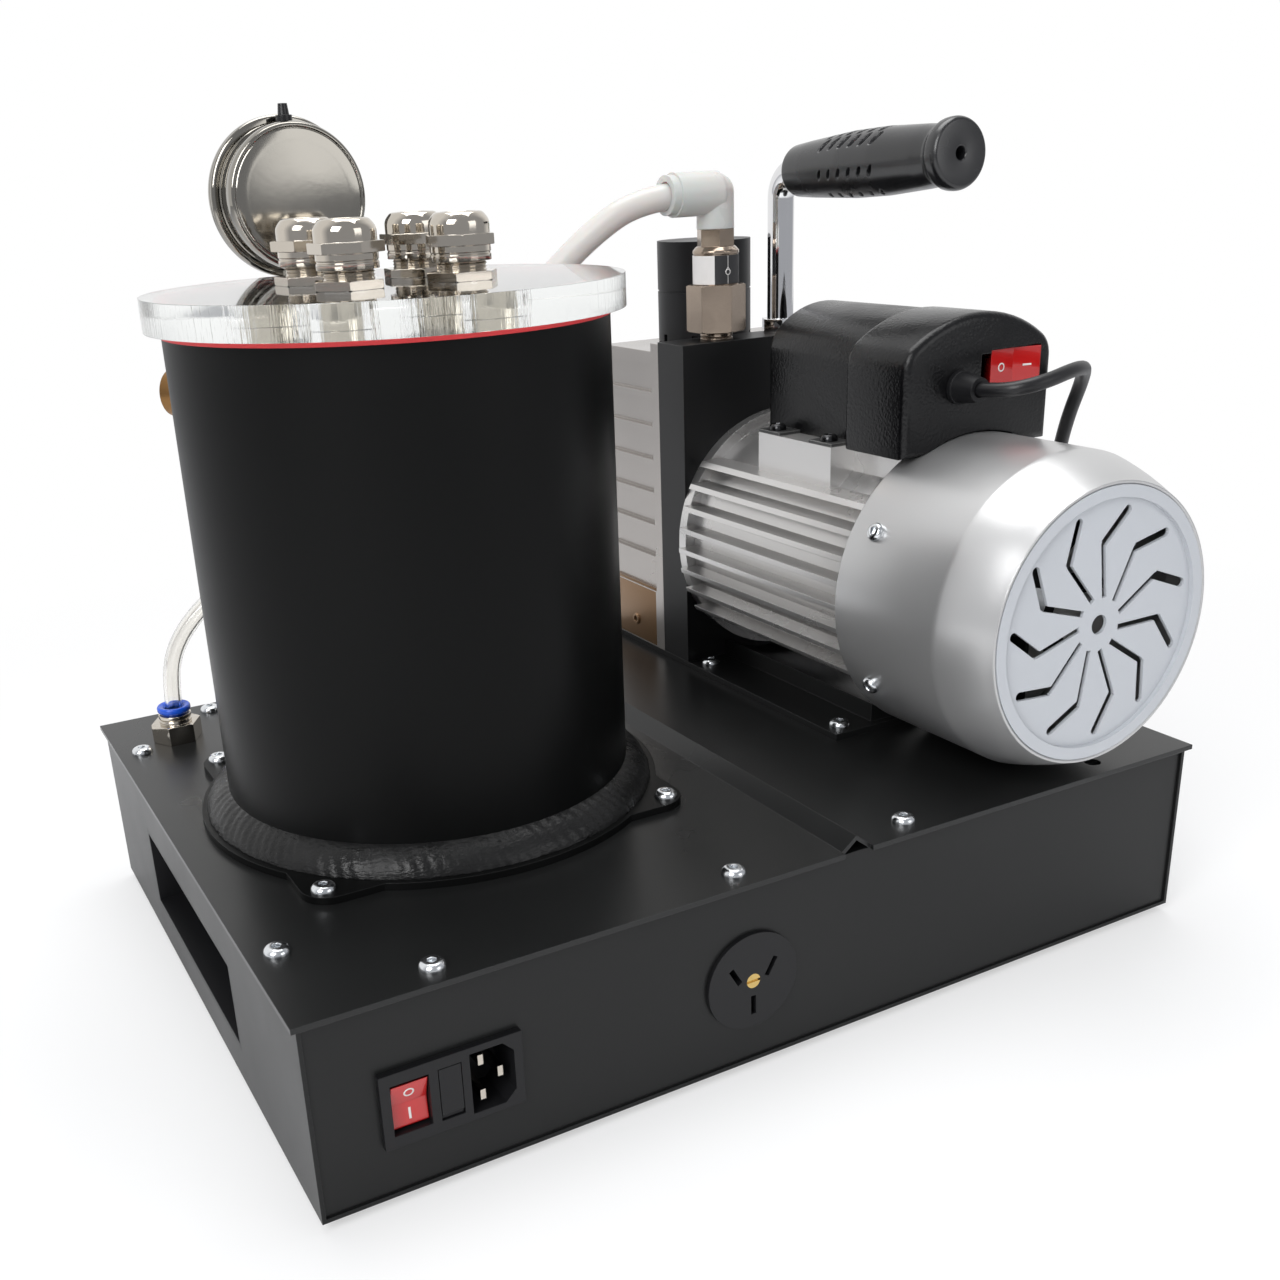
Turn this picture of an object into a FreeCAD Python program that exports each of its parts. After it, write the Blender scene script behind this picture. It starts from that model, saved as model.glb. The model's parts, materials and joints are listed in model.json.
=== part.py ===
import FreeCAD, Part
import Sketcher
import math
import os
from types import SimpleNamespace

from FreeCAD import Placement, Rotation, Vector

# A jewelry vacuum casting machine: a sheet-metal base carries a vacuum chamber with a clear lid,
# a dial gauge and a rotary vane pump. Places are measured from the base's front left bottom corner,
# with x to the right, y to the back and z up. Every finished piece is then moved as one, so that the
# origin lies under the middle of the machine, on the surface that the rubber feet stand on.

SIZES = {
    # Sheet-metal base
    "base_w": 400, "base_d": 305, "base_tall": 76, "sheet": 1.5, "lip": 12, "panel_in": 1,
    "plate": 2, "overhang": 2, "ridge_x": 220, "ridge_half": 6.7, "ridge_rise": 5.3,
    "vent_w": 3, "vent_tall": 30, "vent_pitch": 9, "vent_count": 9,
    "foot_d": 22, "foot_low_d": 19, "foot_tall": 4, "foot_in": 24,
    # Screws of the top plate, measured in from the plate's edges
    "edge_in": 8.5, "side_in": 46, "row_a": 50, "row_b": 170, "row_c": 250, "row_d": 350,
    "spare_x": 353, "spare_d": 7, "screw_d": 5, "screw_hole": 5.5, "head_d": 9.5, "head_top_d": 5.9,
    "head_rise": 2.8, "socket_af": 3, "socket_deep": 1.8, "screw_long": 9.5, "screw_deep": 8,
    # Carrying recesses in the side walls
    "grip_y": 158.5, "grip_z": 35, "grip_long": 138, "grip_tall": 38, "cup_deep": 26, "cup_wall": 2,
    "cup_rim": 4,
    # Mains inlet with rocker switch and fuse drawer
    "inlet_x": 50, "inlet_z": 35, "inlet_w": 52, "inlet_tall": 29, "bezel": 2.5, "inlet_body_w": 47,
    "inlet_body_tall": 26, "inlet_deep": 30, "rocker_x": 34.5, "rocker_w": 13, "rocker_tall": 19,
    "rocker_gap": 0.4, "rocker_well": 13, "rocker_back": 1.5, "rocker_deep": 10, "rocker_ease": 0.6,
    "rocker_proud": 1.2, "rocker_dish": 1.6, "axle_d": 2.4, "axle_in": 3,
    "fuse_x": 49, "fuse_w": 8, "fuse_tall": 20, "fuse_deep": 22, "fuse_gap": 0.3, "fuse_d": 5,
    "fuse_long": 16, "notch": 2, "notch_deep": 0.8,
    "pin_well_x": 64.5, "pin_well_w": 16.5, "pin_well_tall": 24, "pin_well_deep": 18, "pin_w": 2,
    "pin_tall": 4, "pin_long": 16, "pin_row": 7, "pin_side": 3.5,
    # Round mains outlet
    "outlet_x": 172.5, "outlet_z": 36, "outlet_d": 40, "outlet_body_d": 36, "outlet_deep": 22,
    "outlet_rim": 1.6, "outlet_screw_d": 6, "slot_w": 2.2, "slot_long": 8, "slot_reach": 8,
    "slot_lean": 30, "earth_drop": 10.4, "driver_slot": 1, "contact": 1, "contact_deep": 4,
    # Vacuum chamber
    "chamber_x": 108.5, "chamber_y": 148.3, "tube_d": 168.6, "tube_wall": 4, "tube_top": 271,
    "floor": 6, "flange_d": 193, "flange": 3, "ear_half": 81, "ear_round": 12, "ear_screw": 73.3,
    "bead": 9, "port_z": 250, "boss_d": 18, "port_d": 3.5, "wall_boss": 4,
    "vent_z": 243, "vent_angle": 130,
    # Lid and gasket
    "gasket": 2, "gasket_d": 170, "gasket_in": 162, "lid_gap": 0.1, "lid_d": 181, "lid": 12,
    # Cable glands through the lid
    "gland_off": 22, "gland_base_af": 24, "gland_base": 3.2, "gland_neck_d": 19, "gland_neck": 12,
    "gland_bore": 9, "seal_d": 8.8, "seal_head": 6, "gland_shank_d": 18, "nut_lift": 3.6, "nut_af": 24,
    "nut_d": 22.6, "nut_low": 5.5, "nut_band": 3.8, "nut_high": 5, "nut_dome": 2.8, "nut_mouth": 12,
    "thread_gap": 0.3,
    # Dial gauge behind the lid
    "gauge_z": 316, "gauge_gap": 1.7, "case_d": 60, "case_deep": 21, "case_wall": 1.2,
    "case_round": 3, "bezel_d": 66.5, "bezel_deep": 7, "bezel_lip": 3, "lens": 2, "lens_gap": 0.2,
    "dial": 0.8, "dial_in": 6.5, "pointer": 0.8, "pointer_long": 23, "pointer_tail": 9,
    "pointer_off": 0.6, "arbor_d": 2, "hub_d": 6, "stem_af": 14, "stem_long": 14, "stem_d": 10,
    "plug_d": 7, "plug_collar": 3, "plug_low_d": 5.6, "plug_top_d": 3.9, "plug_tall": 7.5,
    # Manifold on the chamber's rear port
    "manifold": 24, "manifold_tall": 30, "nipple_d": 14, "side_port_d": 18, "side_port": 10,
    # Vent valve on the chamber's wall
    "knob_d": 19, "knob_long": 12, "knob_neck_d": 10, "knob_gap": 0.3,
    # Push-in fitting on the top plate
    "fitting_x": 27.5, "fitting_in": 37, "fitting_af": 20, "fitting_hex": 9, "fitting_d": 15,
    "fitting_collar": 4, "collar_d": 15.5, "collar_flange": 3, "collar_neck_d": 11, "collar_press": 1,
    "collar_wall_gap": 0.2, "clear_tube_d": 8, "tube_fit": 0.1,
    # Vacuum pump
    "pump_in": 63.5, "pump_gap": 15, "pump_z": 145, "foot_plate": 3, "foot_left": 57, "foot_right": 49,
    "foot_front": 202, "cradle_half": 34, "cradle_front": 198, "block_half": 57, "block_front": 79,
    "block": 23, "block_top": 241, "tank_flange": 7, "tank_deep": 48, "tank_top": 236, "rib": 3,
    "rib_gap": 3, "rib_pitch": 17, "rib_count": 7, "rib_low": 128, "sump_top": 112, "tank_wall": 5,
    "sight_d": 24, "cap_x": -8.5, "cap_y": 24, "cap_d": 48, "cap_tall": 49.5, "cap_wall": 4,
    "cap_neck_d": 22, "cap_neck": 14, "cap_clear": 0.3, "cap_groove": 1,
    # Motor
    "core_d": 112, "core_wall": 5, "motor_front": 234, "fin_d": 130, "fin": 2.4, "fin_pitch": 10.4,
    "fin_count": 8, "fin_low": 112, "fin_clear": 6, "end_ring": 6,
    "stator_front": 195, "stator_long": 90, "rotor_d": 58, "rotor_gap": 1, "shaft_d": 14,
    "shaft_fit": 0.05, "rotor_long": 92, "shaft_tip": 2, "play": 1, "hub": 22, "web": 5, "saddle_half": 30,
    # Fan and cover
    "cover_d": 132, "cover_rear": 210, "cover_shoulder": 270, "cover_front": 294.5, "cover_mouth_d": 116,
    "cover_sheet": 1.5, "grille_d": 111.5, "grille_rim": 5, "grille": 1.5, "grille_in": 2,
    "grille_hole": 8, "slot_in_r": 11, "slot_elbow_r": 33, "slot_out_r": 45.8, "slot_elbow_turn": 10.6,
    "slot_out_turn": -5, "slot_first": 82.5, "slot_count": 11, "slot_narrow": 2.4, "slot_broad": 3.7,
    "fan_d": 98, "fan_hub_d": 30, "fan_deep": 20, "fan_y": 256, "blade": 2, "blade_count": 8,
    "cover_screw_y": 225, "cover_screw_angle": 30, "cover_head_d": 8, "cover_head_top_d": 5.6,
    "cover_head": 2.5, "cover_lug": 9, "cover_gap": 0.3, "cover_bulge": 122.5, "shield": 20,
    # Terminal box
    "box_front": 219.5, "box_step": 180, "box_rear": 112, "box_half": 40, "box_half_rear": 31,
    "box_low": 204, "box_side_top": 245, "box_top": 260, "box_wall": 2.5, "tab": 1.5, "tab_drop": 12,
    "tab_w": 16, "tab_screw_d": 8, "tab_front": 168, "tab_step": 38, "switch_x": 19, "switch_z": 236.5,
    "switch_w": 27, "switch_tall": 15, "switch_gap": 0.4, "switch_deep": 14,
    "relief_x": -11.5, "relief_z": 231, "relief_d": 14, "relief_flange": 2, "relief_long": 10,
    "relief_tip_d": 10, "cable_d": 6,
    # Carrying handle
    "handle_x": 8.5, "handle_d": 13, "handle_wall": 1.5, "handle_bend": 12, "grip_rear_y": 82,
    "grip_end_y": 192, "grip_rear_z": 315.8, "grip_tilt": 2.2, "grip_d": 28.5, "grip_neck_d": 23.5,
    "grip_flange_d": 29, "grip_flange": 7, "handle_nut_af": 17, "handle_nut": 7,
    # Check valve and elbow on the pump's inlet
    "valve_x": -30, "valve_neck_d": 16, "valve_neck": 4, "valve_hex_af": 25, "valve_hex": 22,
    "valve_d": 22.5, "valve_body": 15.5, "valve_shoulder": 2, "valve_top_af": 16, "valve_top": 8,
    "valve_bore": 11, "poppet_d": 10, "poppet": 4, "seat_d": 6,
    "elbow_d": 18, "elbow_rise": 26, "elbow_reach": 24, "elbow_level_d": 20, "elbow_ring": 4,
    "hose_d": 12,
    # Grommet of the pump's cable in the right side wall
    "grommet_y": 100, "grommet_z": 66, "grommet_d": 9, "grommet": 6,
}


class Size:
    """A named size or a sum of them: the sheet's formula for it, and its value in millimetres."""

    def __init__(self, text, value):
        self.text = text
        self.value = value

    def __add__(self, other):
        return combine(self, "+", other, lambda a, b: a + b)

    def __radd__(self, other):
        return combine(other, "+", self, lambda a, b: a + b)

    def __sub__(self, other):
        return combine(self, "-", other, lambda a, b: a - b)

    def __rsub__(self, other):
        return combine(other, "-", self, lambda a, b: a - b)

    def __mul__(self, other):
        return combine(self, "*", other, lambda a, b: a * b)

    __rmul__ = __mul__

    def __truediv__(self, other):
        return combine(self, "/", other, lambda a, b: a / b)

    def __neg__(self):
        return 0 - self

    def __float__(self):
        return float(self.value)


def as_size(value):
    return value if isinstance(value, Size) else Size(f"{float(value):.9f}", float(value))


def combine(left, sign, right, work):
    left = as_size(left)
    right = as_size(right)
    return Size(f"({left.text} {sign} {right.text})", work(left.value, right.value))


def make_sheet():
    sheet = doc.addObject("Spreadsheet::Sheet", "Dims")
    for row, (alias, value) in enumerate(SIZES.items(), 1):
        sheet.set(f"A{row}", alias)
        sheet.set(f"B{row}", str(value))
        sheet.setAlias(f"B{row}", alias)
    doc.recompute()
    return SimpleNamespace(**{alias: Size(f"Dims.{alias}", float(sheet.get(alias))) for alias in SIZES})


os.makedirs("parts", exist_ok=True)
doc = FreeCAD.newDocument("vacuum_casting_machine")
s = make_sheet()

# The pump stands from the base's right side and back: its stations are given forwards from the back
# edge of its foot, and its fittings across from its shaft. They become places here.
pump_back = s.base_d - s.pump_gap
for station in ("foot_front", "cradle_front", "block_front", "motor_front", "stator_front", "cover_rear",
                "cover_shoulder", "cover_front", "fan_y", "cover_screw_y", "box_front", "box_step",
                "box_rear", "tab_front", "grip_rear_y", "grip_end_y", "cap_y"):
    setattr(s, station, pump_back - getattr(s, station))
s.pump_x = s.base_w - s.pump_in
for fitting in ("valve_x", "handle_x", "cap_x", "switch_x", "relief_x"):
    setattr(s, fitting, s.pump_x + getattr(s, fitting))
s.gauge_back = s.chamber_y + s.lid_d / 2 + s.gauge_gap
s.fitting_y = s.base_d - s.fitting_in

# Directions in which a rod, cone or hexagon grows from its starting point
TURNS = {
    "z": Rotation(),
    "-z": Rotation(Vector(1, 0, 0), 180),
    "x": Rotation(Vector(0, 1, 0), 90),
    "-x": Rotation(Vector(0, 1, 0), -90),
    "y": Rotation(Vector(1, 0, 0), -90),
    "-y": Rotation(Vector(1, 0, 0), 90),
}
ROOT3 = math.sqrt(3)


def bind(obj, name, value):
    obj.setExpression(name, as_size(value).text)


def place(obj, x, y, z, rotation=Rotation()):
    obj.Placement = Placement(Vector(float(x), float(y), float(z)), rotation)
    for axis, value in (("x", x), ("y", y), ("z", z)):
        bind(obj, f"Placement.Base.{axis}", value)
    return obj


def block(xs, ys, zs):
    """A box between two x, two y and two z."""
    obj = doc.addObject("Part::Box", "Block")
    for name, (low, high) in (("Length", xs), ("Width", ys), ("Height", zs)):
        bind(obj, name, high - low)
    return place(obj, xs[0], ys[0], zs[0])


def rod(diameter, length, x, y, z, axis="z"):
    obj = doc.addObject("Part::Cylinder", "Rod")
    bind(obj, "Radius", diameter / 2)
    bind(obj, "Height", length)
    return place(obj, x, y, z, turn(axis))


def cone(start_d, end_d, length, x, y, z, axis="z"):
    obj = doc.addObject("Part::Cone", "Cone")
    bind(obj, "Radius1", start_d / 2)
    bind(obj, "Radius2", end_d / 2)
    bind(obj, "Height", length)
    return place(obj, x, y, z, turn(axis))


def hexagon(across_flats, length, x, y, z, axis="z"):
    obj = doc.addObject("Part::Prism", "Hexagon")
    obj.Polygon = 6
    bind(obj, "Circumradius", across_flats / ROOT3)
    bind(obj, "Height", length)
    return place(obj, x, y, z, turn(axis))


def turn(axis):
    return TURNS[axis] if isinstance(axis, str) else axis


def fuse(*shapes):
    obj = doc.addObject("Part::MultiFuse", "Fuse")
    obj.Shapes = list(shapes)
    obj.Refine = True
    return obj


def cut(base, *tools):
    obj = doc.addObject("Part::Cut", "Cut")
    obj.Base = base
    obj.Tool = tools[0] if len(tools) == 1 else fuse(*tools)
    obj.Refine = True
    return obj


def common(*shapes):
    obj = doc.addObject("Part::MultiCommon", "Common")
    obj.Shapes = list(shapes)
    return obj


def ring(outer_d, inner_d, length, x, y, z, axis="z"):
    return cut(rod(outer_d, length, x, y, z, axis), rod(inner_d, length, x, y, z, axis))


def moved(obj, x, y, z, rotation):
    """A finished shape turned about a point and set down at x, y, z."""
    group = doc.addObject("Part::Compound", "Moved")
    group.Links = [obj]
    return place(group, x, y, z, rotation)


def arc_point(start, end, radius):
    """The middle of an arc from start to end; a positive radius bulges to the right of the way."""
    chord = end - start
    half = chord.Length / 2
    rise = abs(radius) - math.sqrt(max(radius * radius - half * half, 0))
    side = Vector(chord.y, -chord.x, 0).normalize()
    return (start + end) * 0.5 + side * math.copysign(rise, radius)


def outline(corners, rotation):
    """A closed sketch. A corner is (u, v), or (u, v, radius) where an arc leads on from it."""
    sketch = doc.addObject("Sketcher::SketchObject", "Outline")
    spots = [Vector(float(corner[0]), float(corner[1]), 0) for corner in corners]
    heads = []
    for number, corner in enumerate(corners):
        start = spots[number]
        end = spots[(number + 1) % len(spots)]
        if len(corner) == 3:
            edge = sketch.addGeometry(Part.Arc(start, arc_point(start, end, float(corner[2])), end))
            swapped = (sketch.Geometry[edge].StartPoint - start).Length > 1e-6
            heads.append((edge, 2, 1) if swapped else (edge, 1, 2))
            row = sketch.addConstraint(Sketcher.Constraint("Radius", edge, abs(float(corner[2]))))
            bind(sketch, f"Constraints[{row}]", corner[2] if float(corner[2]) > 0 else -corner[2])
        else:
            edge = sketch.addGeometry(Part.LineSegment(start, end))
            heads.append((edge, 1, 2))
    for number, (edge, first, last) in enumerate(heads):
        following = heads[(number + 1) % len(heads)]
        sketch.addConstraint(Sketcher.Constraint("Coincident", edge, last, following[0], following[1]))
        for kind, value in (("DistanceX", corners[number][0]), ("DistanceY", corners[number][1])):
            row = sketch.addConstraint(Sketcher.Constraint(kind, -1, 1, edge, first, float(value)))
            bind(sketch, f"Constraints[{row}]", value)
    sketch.Placement = Placement(Vector(), rotation)
    return sketch


FACING = {
    "z": Rotation(),
    "y": Rotation(Vector(1, 0, 0), 90),
    "x": Rotation(Vector(0, 1, 0), Vector(0, 0, 1), Vector(1, 0, 0), "ZXY"),
}


def prism(corners, start, length, axis="z"):
    """A straight bar of the outline: (x, y) along z, (x, z) along y or (y, z) along x."""
    sketch = outline(corners, FACING[axis])
    bar = doc.addObject("Part::Extrusion", "Prism")
    bar.Base = sketch
    bar.DirMode = "Normal"
    bar.Solid = True
    bind(bar, "LengthFwd", length)
    spot = {"x": 0, "y": 0, "z": 0}
    spot[axis] = start + length if axis == "y" else start
    return place(bar, spot["x"], spot["y"], spot["z"])


def turned(corners, x, y, z, axis="z"):
    """A lathe shape: corners are (radius, height) about an axis through x, y, z."""
    sketch = outline(corners, Rotation(Vector(1, 0, 0), 90))
    lathe = doc.addObject("Part::Revolution", "Turned")
    lathe.Source = sketch
    lathe.Axis = Vector(0, 0, 1)
    lathe.Base = Vector(0, 0, 0)
    lathe.Angle = 360
    lathe.Solid = True
    return place(lathe, x, y, z, turn(axis))


def polar(shapes, angles, x, z, y=0):
    """Copies of shapes that lie about the y axis, turned to each angle about (x, z)."""
    turned_ones = []
    for angle in angles:
        for shape in shapes:
            turned_ones.append(moved(shape, x, y, z, Rotation(Vector(0, 1, 0), angle)))
    return turned_ones


PIECES = {}


def piece(name, *solids):
    """A finished sub-part under its own name, moved to the standing frame."""
    group = doc.addObject("Part::Compound", name)
    group.Label = name
    group.Links = list(solids)
    place(group, -(s.base_w + s.grommet - s.overhang) / 2, -(s.base_d + s.overhang + s.cover_front) / 2,
          s.foot_tall)
    PIECES[name] = group


deck = s.base_tall + s.plate
CORNERS = [(sx, sy) for sx in (-1, 1) for sy in (-1, 1)]
LEFT_RIGHT = (-1, 1)


def base_side(side, reach):
    """The x that lies reach inside the left (-1) or right (1) face of the base."""
    return reach if side < 0 else s.base_w - reach


def x_span(side, near, far):
    return (near, far) if side < 0 else (s.base_w - far, s.base_w - near)


def base_shell():
    full = block((as_size(0), s.base_w), (as_size(0), s.base_d), (as_size(0), s.base_tall))
    inside = block((s.sheet, s.base_w - s.sheet), (-s.sheet, s.base_d - s.sheet), (s.sheet, deck))
    lips = [block(x_span(side, as_size(0), s.lip), (as_size(0), s.base_d),
                  (s.base_tall - s.sheet, s.base_tall)) for side in LEFT_RIGHT]
    rear_lip = block((s.lip, s.base_w - s.lip), (s.base_d - s.lip, s.base_d),
                     (s.base_tall - s.sheet, s.base_tall))
    openings = [block(x_span(side, -s.sheet, 2 * s.sheet),
                      (s.grip_y - s.grip_long / 2, s.grip_y + s.grip_long / 2),
                      (s.grip_z - s.grip_tall / 2, s.grip_z + s.grip_tall / 2)) for side in LEFT_RIGHT]
    vents = []
    for number in range(int(s.vent_count.value)):
        middle = s.base_w / 2 + (number - (s.vent_count.value - 1) / 2) * s.vent_pitch
        vents.append(block((middle - s.vent_w / 2, middle + s.vent_w / 2),
                           (s.base_d - 2 * s.sheet, s.base_d + s.sheet),
                           (s.base_tall / 2 - s.vent_tall / 2, s.base_tall / 2 + s.vent_tall / 2)))
    holes = [screw_hole(x, y) for x, y in plate_screw_places(False)]
    holes.append(rod(s.grommet_d, 4 * s.sheet, s.base_w - 2 * s.sheet, s.grommet_y, s.grommet_z, "x"))
    holes += [rod(s.screw_hole, 4 * s.sheet, x, y, -s.sheet) for x, y in foot_places()]
    return cut(fuse(cut(full, inside), *lips, rear_lip), *openings, *vents, *holes)


def plate_screw_places(with_front=True):
    """Centres of the top plate's screws: the back row, the two sides and the front row."""
    rear = s.base_d - s.edge_in
    places = [(x, rear) for x in (s.row_a, s.row_b, s.row_c, s.row_d)]
    for x in (s.edge_in, s.base_w - s.edge_in):
        places += [(x, s.side_in), (x, s.base_d - s.side_in)]
    if with_front:
        places += [(x, s.edge_in) for x in (s.row_a, s.row_b, s.row_c)]
    return places


def screw_hole(x, y):
    return rod(s.screw_hole, deck, x, y, s.base_tall / 2)


def foot_places():
    return [(s.foot_in, s.foot_in), (s.base_w - s.foot_in, s.foot_in),
            (s.foot_in, s.base_d - s.foot_in), (s.base_w - s.foot_in, s.base_d - s.foot_in)]


def front_panel():
    edge = s.sheet + s.lip
    sheet = block((s.sheet, s.base_w - s.sheet), (s.panel_in, s.panel_in + s.sheet),
                  (s.sheet, s.base_tall - s.sheet))
    top = block((edge, s.base_w - edge), (s.panel_in, s.panel_in + s.lip + s.sheet),
                (s.base_tall - s.sheet, s.base_tall))
    holes = [screw_hole(x, s.edge_in) for x in (s.row_a, s.row_b, s.row_c)]
    holes.append(screw_hole(s.spare_x, s.edge_in))
    inlet = block((s.inlet_x - s.inlet_body_w / 2, s.inlet_x + s.inlet_body_w / 2),
                  (as_size(-1), s.lip),
                  (s.inlet_z - s.inlet_body_tall / 2, s.inlet_z + s.inlet_body_tall / 2))
    outlet = rod(s.outlet_body_d, s.lip, s.outlet_x, as_size(-1), s.outlet_z, "y")
    return cut(fuse(sheet, top), inlet, outlet, *holes)


def top_plate():
    low = s.base_tall
    left = s.ridge_x - s.ridge_half
    right = s.ridge_x + s.ridge_half
    profile = [(-s.overhang, low), (left, low), (s.ridge_x, low + s.ridge_rise), (right, low),
               (s.base_w + s.overhang, low), (s.base_w + s.overhang, deck), (right, deck),
               (s.ridge_x, deck + s.ridge_rise), (left, deck), (-s.overhang, deck)]
    plate = prism(profile, -s.overhang, s.base_d + 2 * s.overhang, "y")
    notches = [block((left, right), (y, y + s.overhang), (low, deck + 2 * s.ridge_rise))
               for y in (-s.overhang, s.base_d)]
    holes = [screw_hole(x, y) for x, y in plate_screw_places()]
    holes.append(rod(s.spare_d, 2 * s.plate, s.spare_x, s.edge_in, s.base_tall - s.plate / 2))
    holes.append(rod(s.fitting_d, 2 * s.plate, s.fitting_x, s.fitting_y, s.base_tall - s.plate / 2))
    holes += [rod(s.screw_hole, 2 * s.plate, x, y, s.base_tall - s.plate / 2)
              for x, y in flange_screw_places()]
    return cut(plate, *notches, *holes)


def button_screw(x, y, z, length=s.screw_long, head_d=s.head_d):
    """A button-head screw with a hexagon socket, its head's underside at z."""
    head = cone(head_d, s.head_top_d, s.head_rise, x, y, z)
    shank = rod(s.screw_d, length, x, y, z - length)
    socket = hexagon(s.socket_af, s.socket_deep, x, y, z + s.head_rise - s.socket_deep)
    return cut(fuse(head, shank), socket)


def rubber_feet():
    feet = []
    for x, y in foot_places():
        pad = cone(s.foot_low_d, s.foot_d, s.foot_tall, x, y, -s.foot_tall)
        stud = rod(s.screw_hole, 2 * s.sheet, x, y, as_size(0))
        feet.append(fuse(pad, stud))
    return feet


def handle_cups():
    """One dished carrying recess in each side wall."""
    cups = []
    half = s.grip_long / 2
    tall = s.grip_tall / 2
    for side in LEFT_RIGHT:
        rim = block(x_span(side, s.sheet, s.sheet + s.cup_wall),
                    (s.grip_y - half - s.cup_rim, s.grip_y + half + s.cup_rim),
                    (s.grip_z - tall - s.cup_rim, s.grip_z + tall + s.cup_rim))
        body = block(x_span(side, as_size(0), s.cup_deep), (s.grip_y - half, s.grip_y + half),
                     (s.grip_z - tall, s.grip_z + tall))
        hollow = block(x_span(side, -s.sheet, s.cup_deep - s.cup_wall),
                       (s.grip_y - half + s.cup_wall, s.grip_y + half - s.cup_wall),
                       (s.grip_z - tall + s.cup_wall, s.grip_z + tall - s.cup_wall))
        cups.append(cut(fuse(rim, body), hollow))
    return cups


bezel_front = s.panel_in - s.bezel


def inlet_well(x, width, tall, deep, gap=as_size(0)):
    """A pocket into the inlet's front, wider than its filling by gap on every side."""
    return block((x - width / 2 - gap, x + width / 2 + gap), (bezel_front - 1, bezel_front + deep),
                 (s.inlet_z - tall / 2 - gap, s.inlet_z + tall / 2 + gap))


def inlet_body():
    bezel = block((s.inlet_x - s.inlet_w / 2, s.inlet_x + s.inlet_w / 2), (bezel_front, s.panel_in),
                  (s.inlet_z - s.inlet_tall / 2, s.inlet_z + s.inlet_tall / 2))
    body = block((s.inlet_x - s.inlet_body_w / 2, s.inlet_x + s.inlet_body_w / 2),
                 (s.panel_in, s.panel_in + s.inlet_deep),
                 (s.inlet_z - s.inlet_body_tall / 2, s.inlet_z + s.inlet_body_tall / 2))
    rocker = inlet_well(s.rocker_x, s.rocker_w, s.rocker_tall, s.rocker_well, s.rocker_gap)
    drawer = inlet_well(s.fuse_x, s.fuse_w, s.fuse_tall, s.fuse_deep, s.fuse_gap)
    half_w = s.pin_well_w / 2
    half_t = s.pin_well_tall / 2
    bevel = s.pin_well_w / 4
    well = prism([(s.pin_well_x - half_w, s.inlet_z - half_t),
                  (s.pin_well_x + half_w - bevel, s.inlet_z - half_t),
                  (s.pin_well_x + half_w, s.inlet_z - half_t + bevel),
                  (s.pin_well_x + half_w, s.inlet_z + half_t - bevel),
                  (s.pin_well_x + half_w - bevel, s.inlet_z + half_t),
                  (s.pin_well_x - half_w, s.inlet_z + half_t)],
                 bezel_front - 1, s.pin_well_deep + 1, "y")
    return cut(fuse(bezel, body), rocker, drawer, well)


def pin_places():
    """The two line pins in the left column and the earth pin at the right."""
    return [(s.pin_well_x - s.pin_side, s.inlet_z - s.pin_row),
            (s.pin_well_x - s.pin_side, s.inlet_z + s.pin_row),
            (s.pin_well_x + s.pin_side, s.inlet_z)]


def inlet_pins():
    back = bezel_front + s.pin_well_deep
    return [block((x - s.pin_w / 2, x + s.pin_w / 2), (back - s.pin_long, back),
                  (z - s.pin_tall / 2, z + s.pin_tall / 2)) for x, z in pin_places()]


def rocker(across, along, width, tall, front, deep, upright=True):
    """A rocker cap, dished in the middle, on an axle that runs across it; its far end stands proud."""
    half = tall / 2 - s.rocker_ease
    shape = [(front + 1, -half), (front + deep, -half / 2), (front + deep, half / 2),
             (front - s.rocker_proud, half), (front + s.rocker_dish, as_size(0))]
    if upright:
        face = prism([(y, along + z) for y, z in shape], across - width / 2, width, "x")
        axle = rod(s.axle_d, width, across - width / 2, front + s.axle_in, along, "x")
    else:
        face = prism([(across + x, y) for y, x in reversed(shape)], along - width / 2, width)
        axle = rod(s.axle_d, width, across, front + s.axle_in, along - width / 2)
    return fuse(face, axle)


def fuse_drawer():
    front = block((s.fuse_x - s.fuse_w / 2, s.fuse_x + s.fuse_w / 2),
                  (bezel_front, bezel_front + s.fuse_deep - s.fuse_gap),
                  (s.inlet_z - s.fuse_tall / 2, s.inlet_z + s.fuse_tall / 2))
    bay_front = bezel_front + s.bezel
    bay = block((s.fuse_x - s.fuse_d / 2 - s.fuse_gap, s.fuse_x + s.fuse_w),
                (bay_front, bezel_front + s.fuse_deep - s.bezel),
                (s.inlet_z - s.fuse_long / 2 - s.fuse_gap, s.inlet_z + s.fuse_long / 2 + s.fuse_gap))
    notch = block((s.fuse_x - s.fuse_w, s.fuse_x + s.fuse_w), (bezel_front - 1, bezel_front + s.notch_deep),
                  (s.inlet_z - s.fuse_tall / 2, s.inlet_z - s.fuse_tall / 2 + s.notch))
    return cut(front, bay, notch)


def fuses():
    """Two glass-tube fuses standing in the drawer, one behind the other."""
    tubes = []
    for row in (0, 1):
        y = bezel_front + s.bezel + s.fuse_gap + s.fuse_d / 2 + row * (s.fuse_d + 2 * s.fuse_gap)
        tubes.append(rod(s.fuse_d, s.fuse_long, s.fuse_x, y, s.inlet_z - s.fuse_long / 2))
    return tubes


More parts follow.
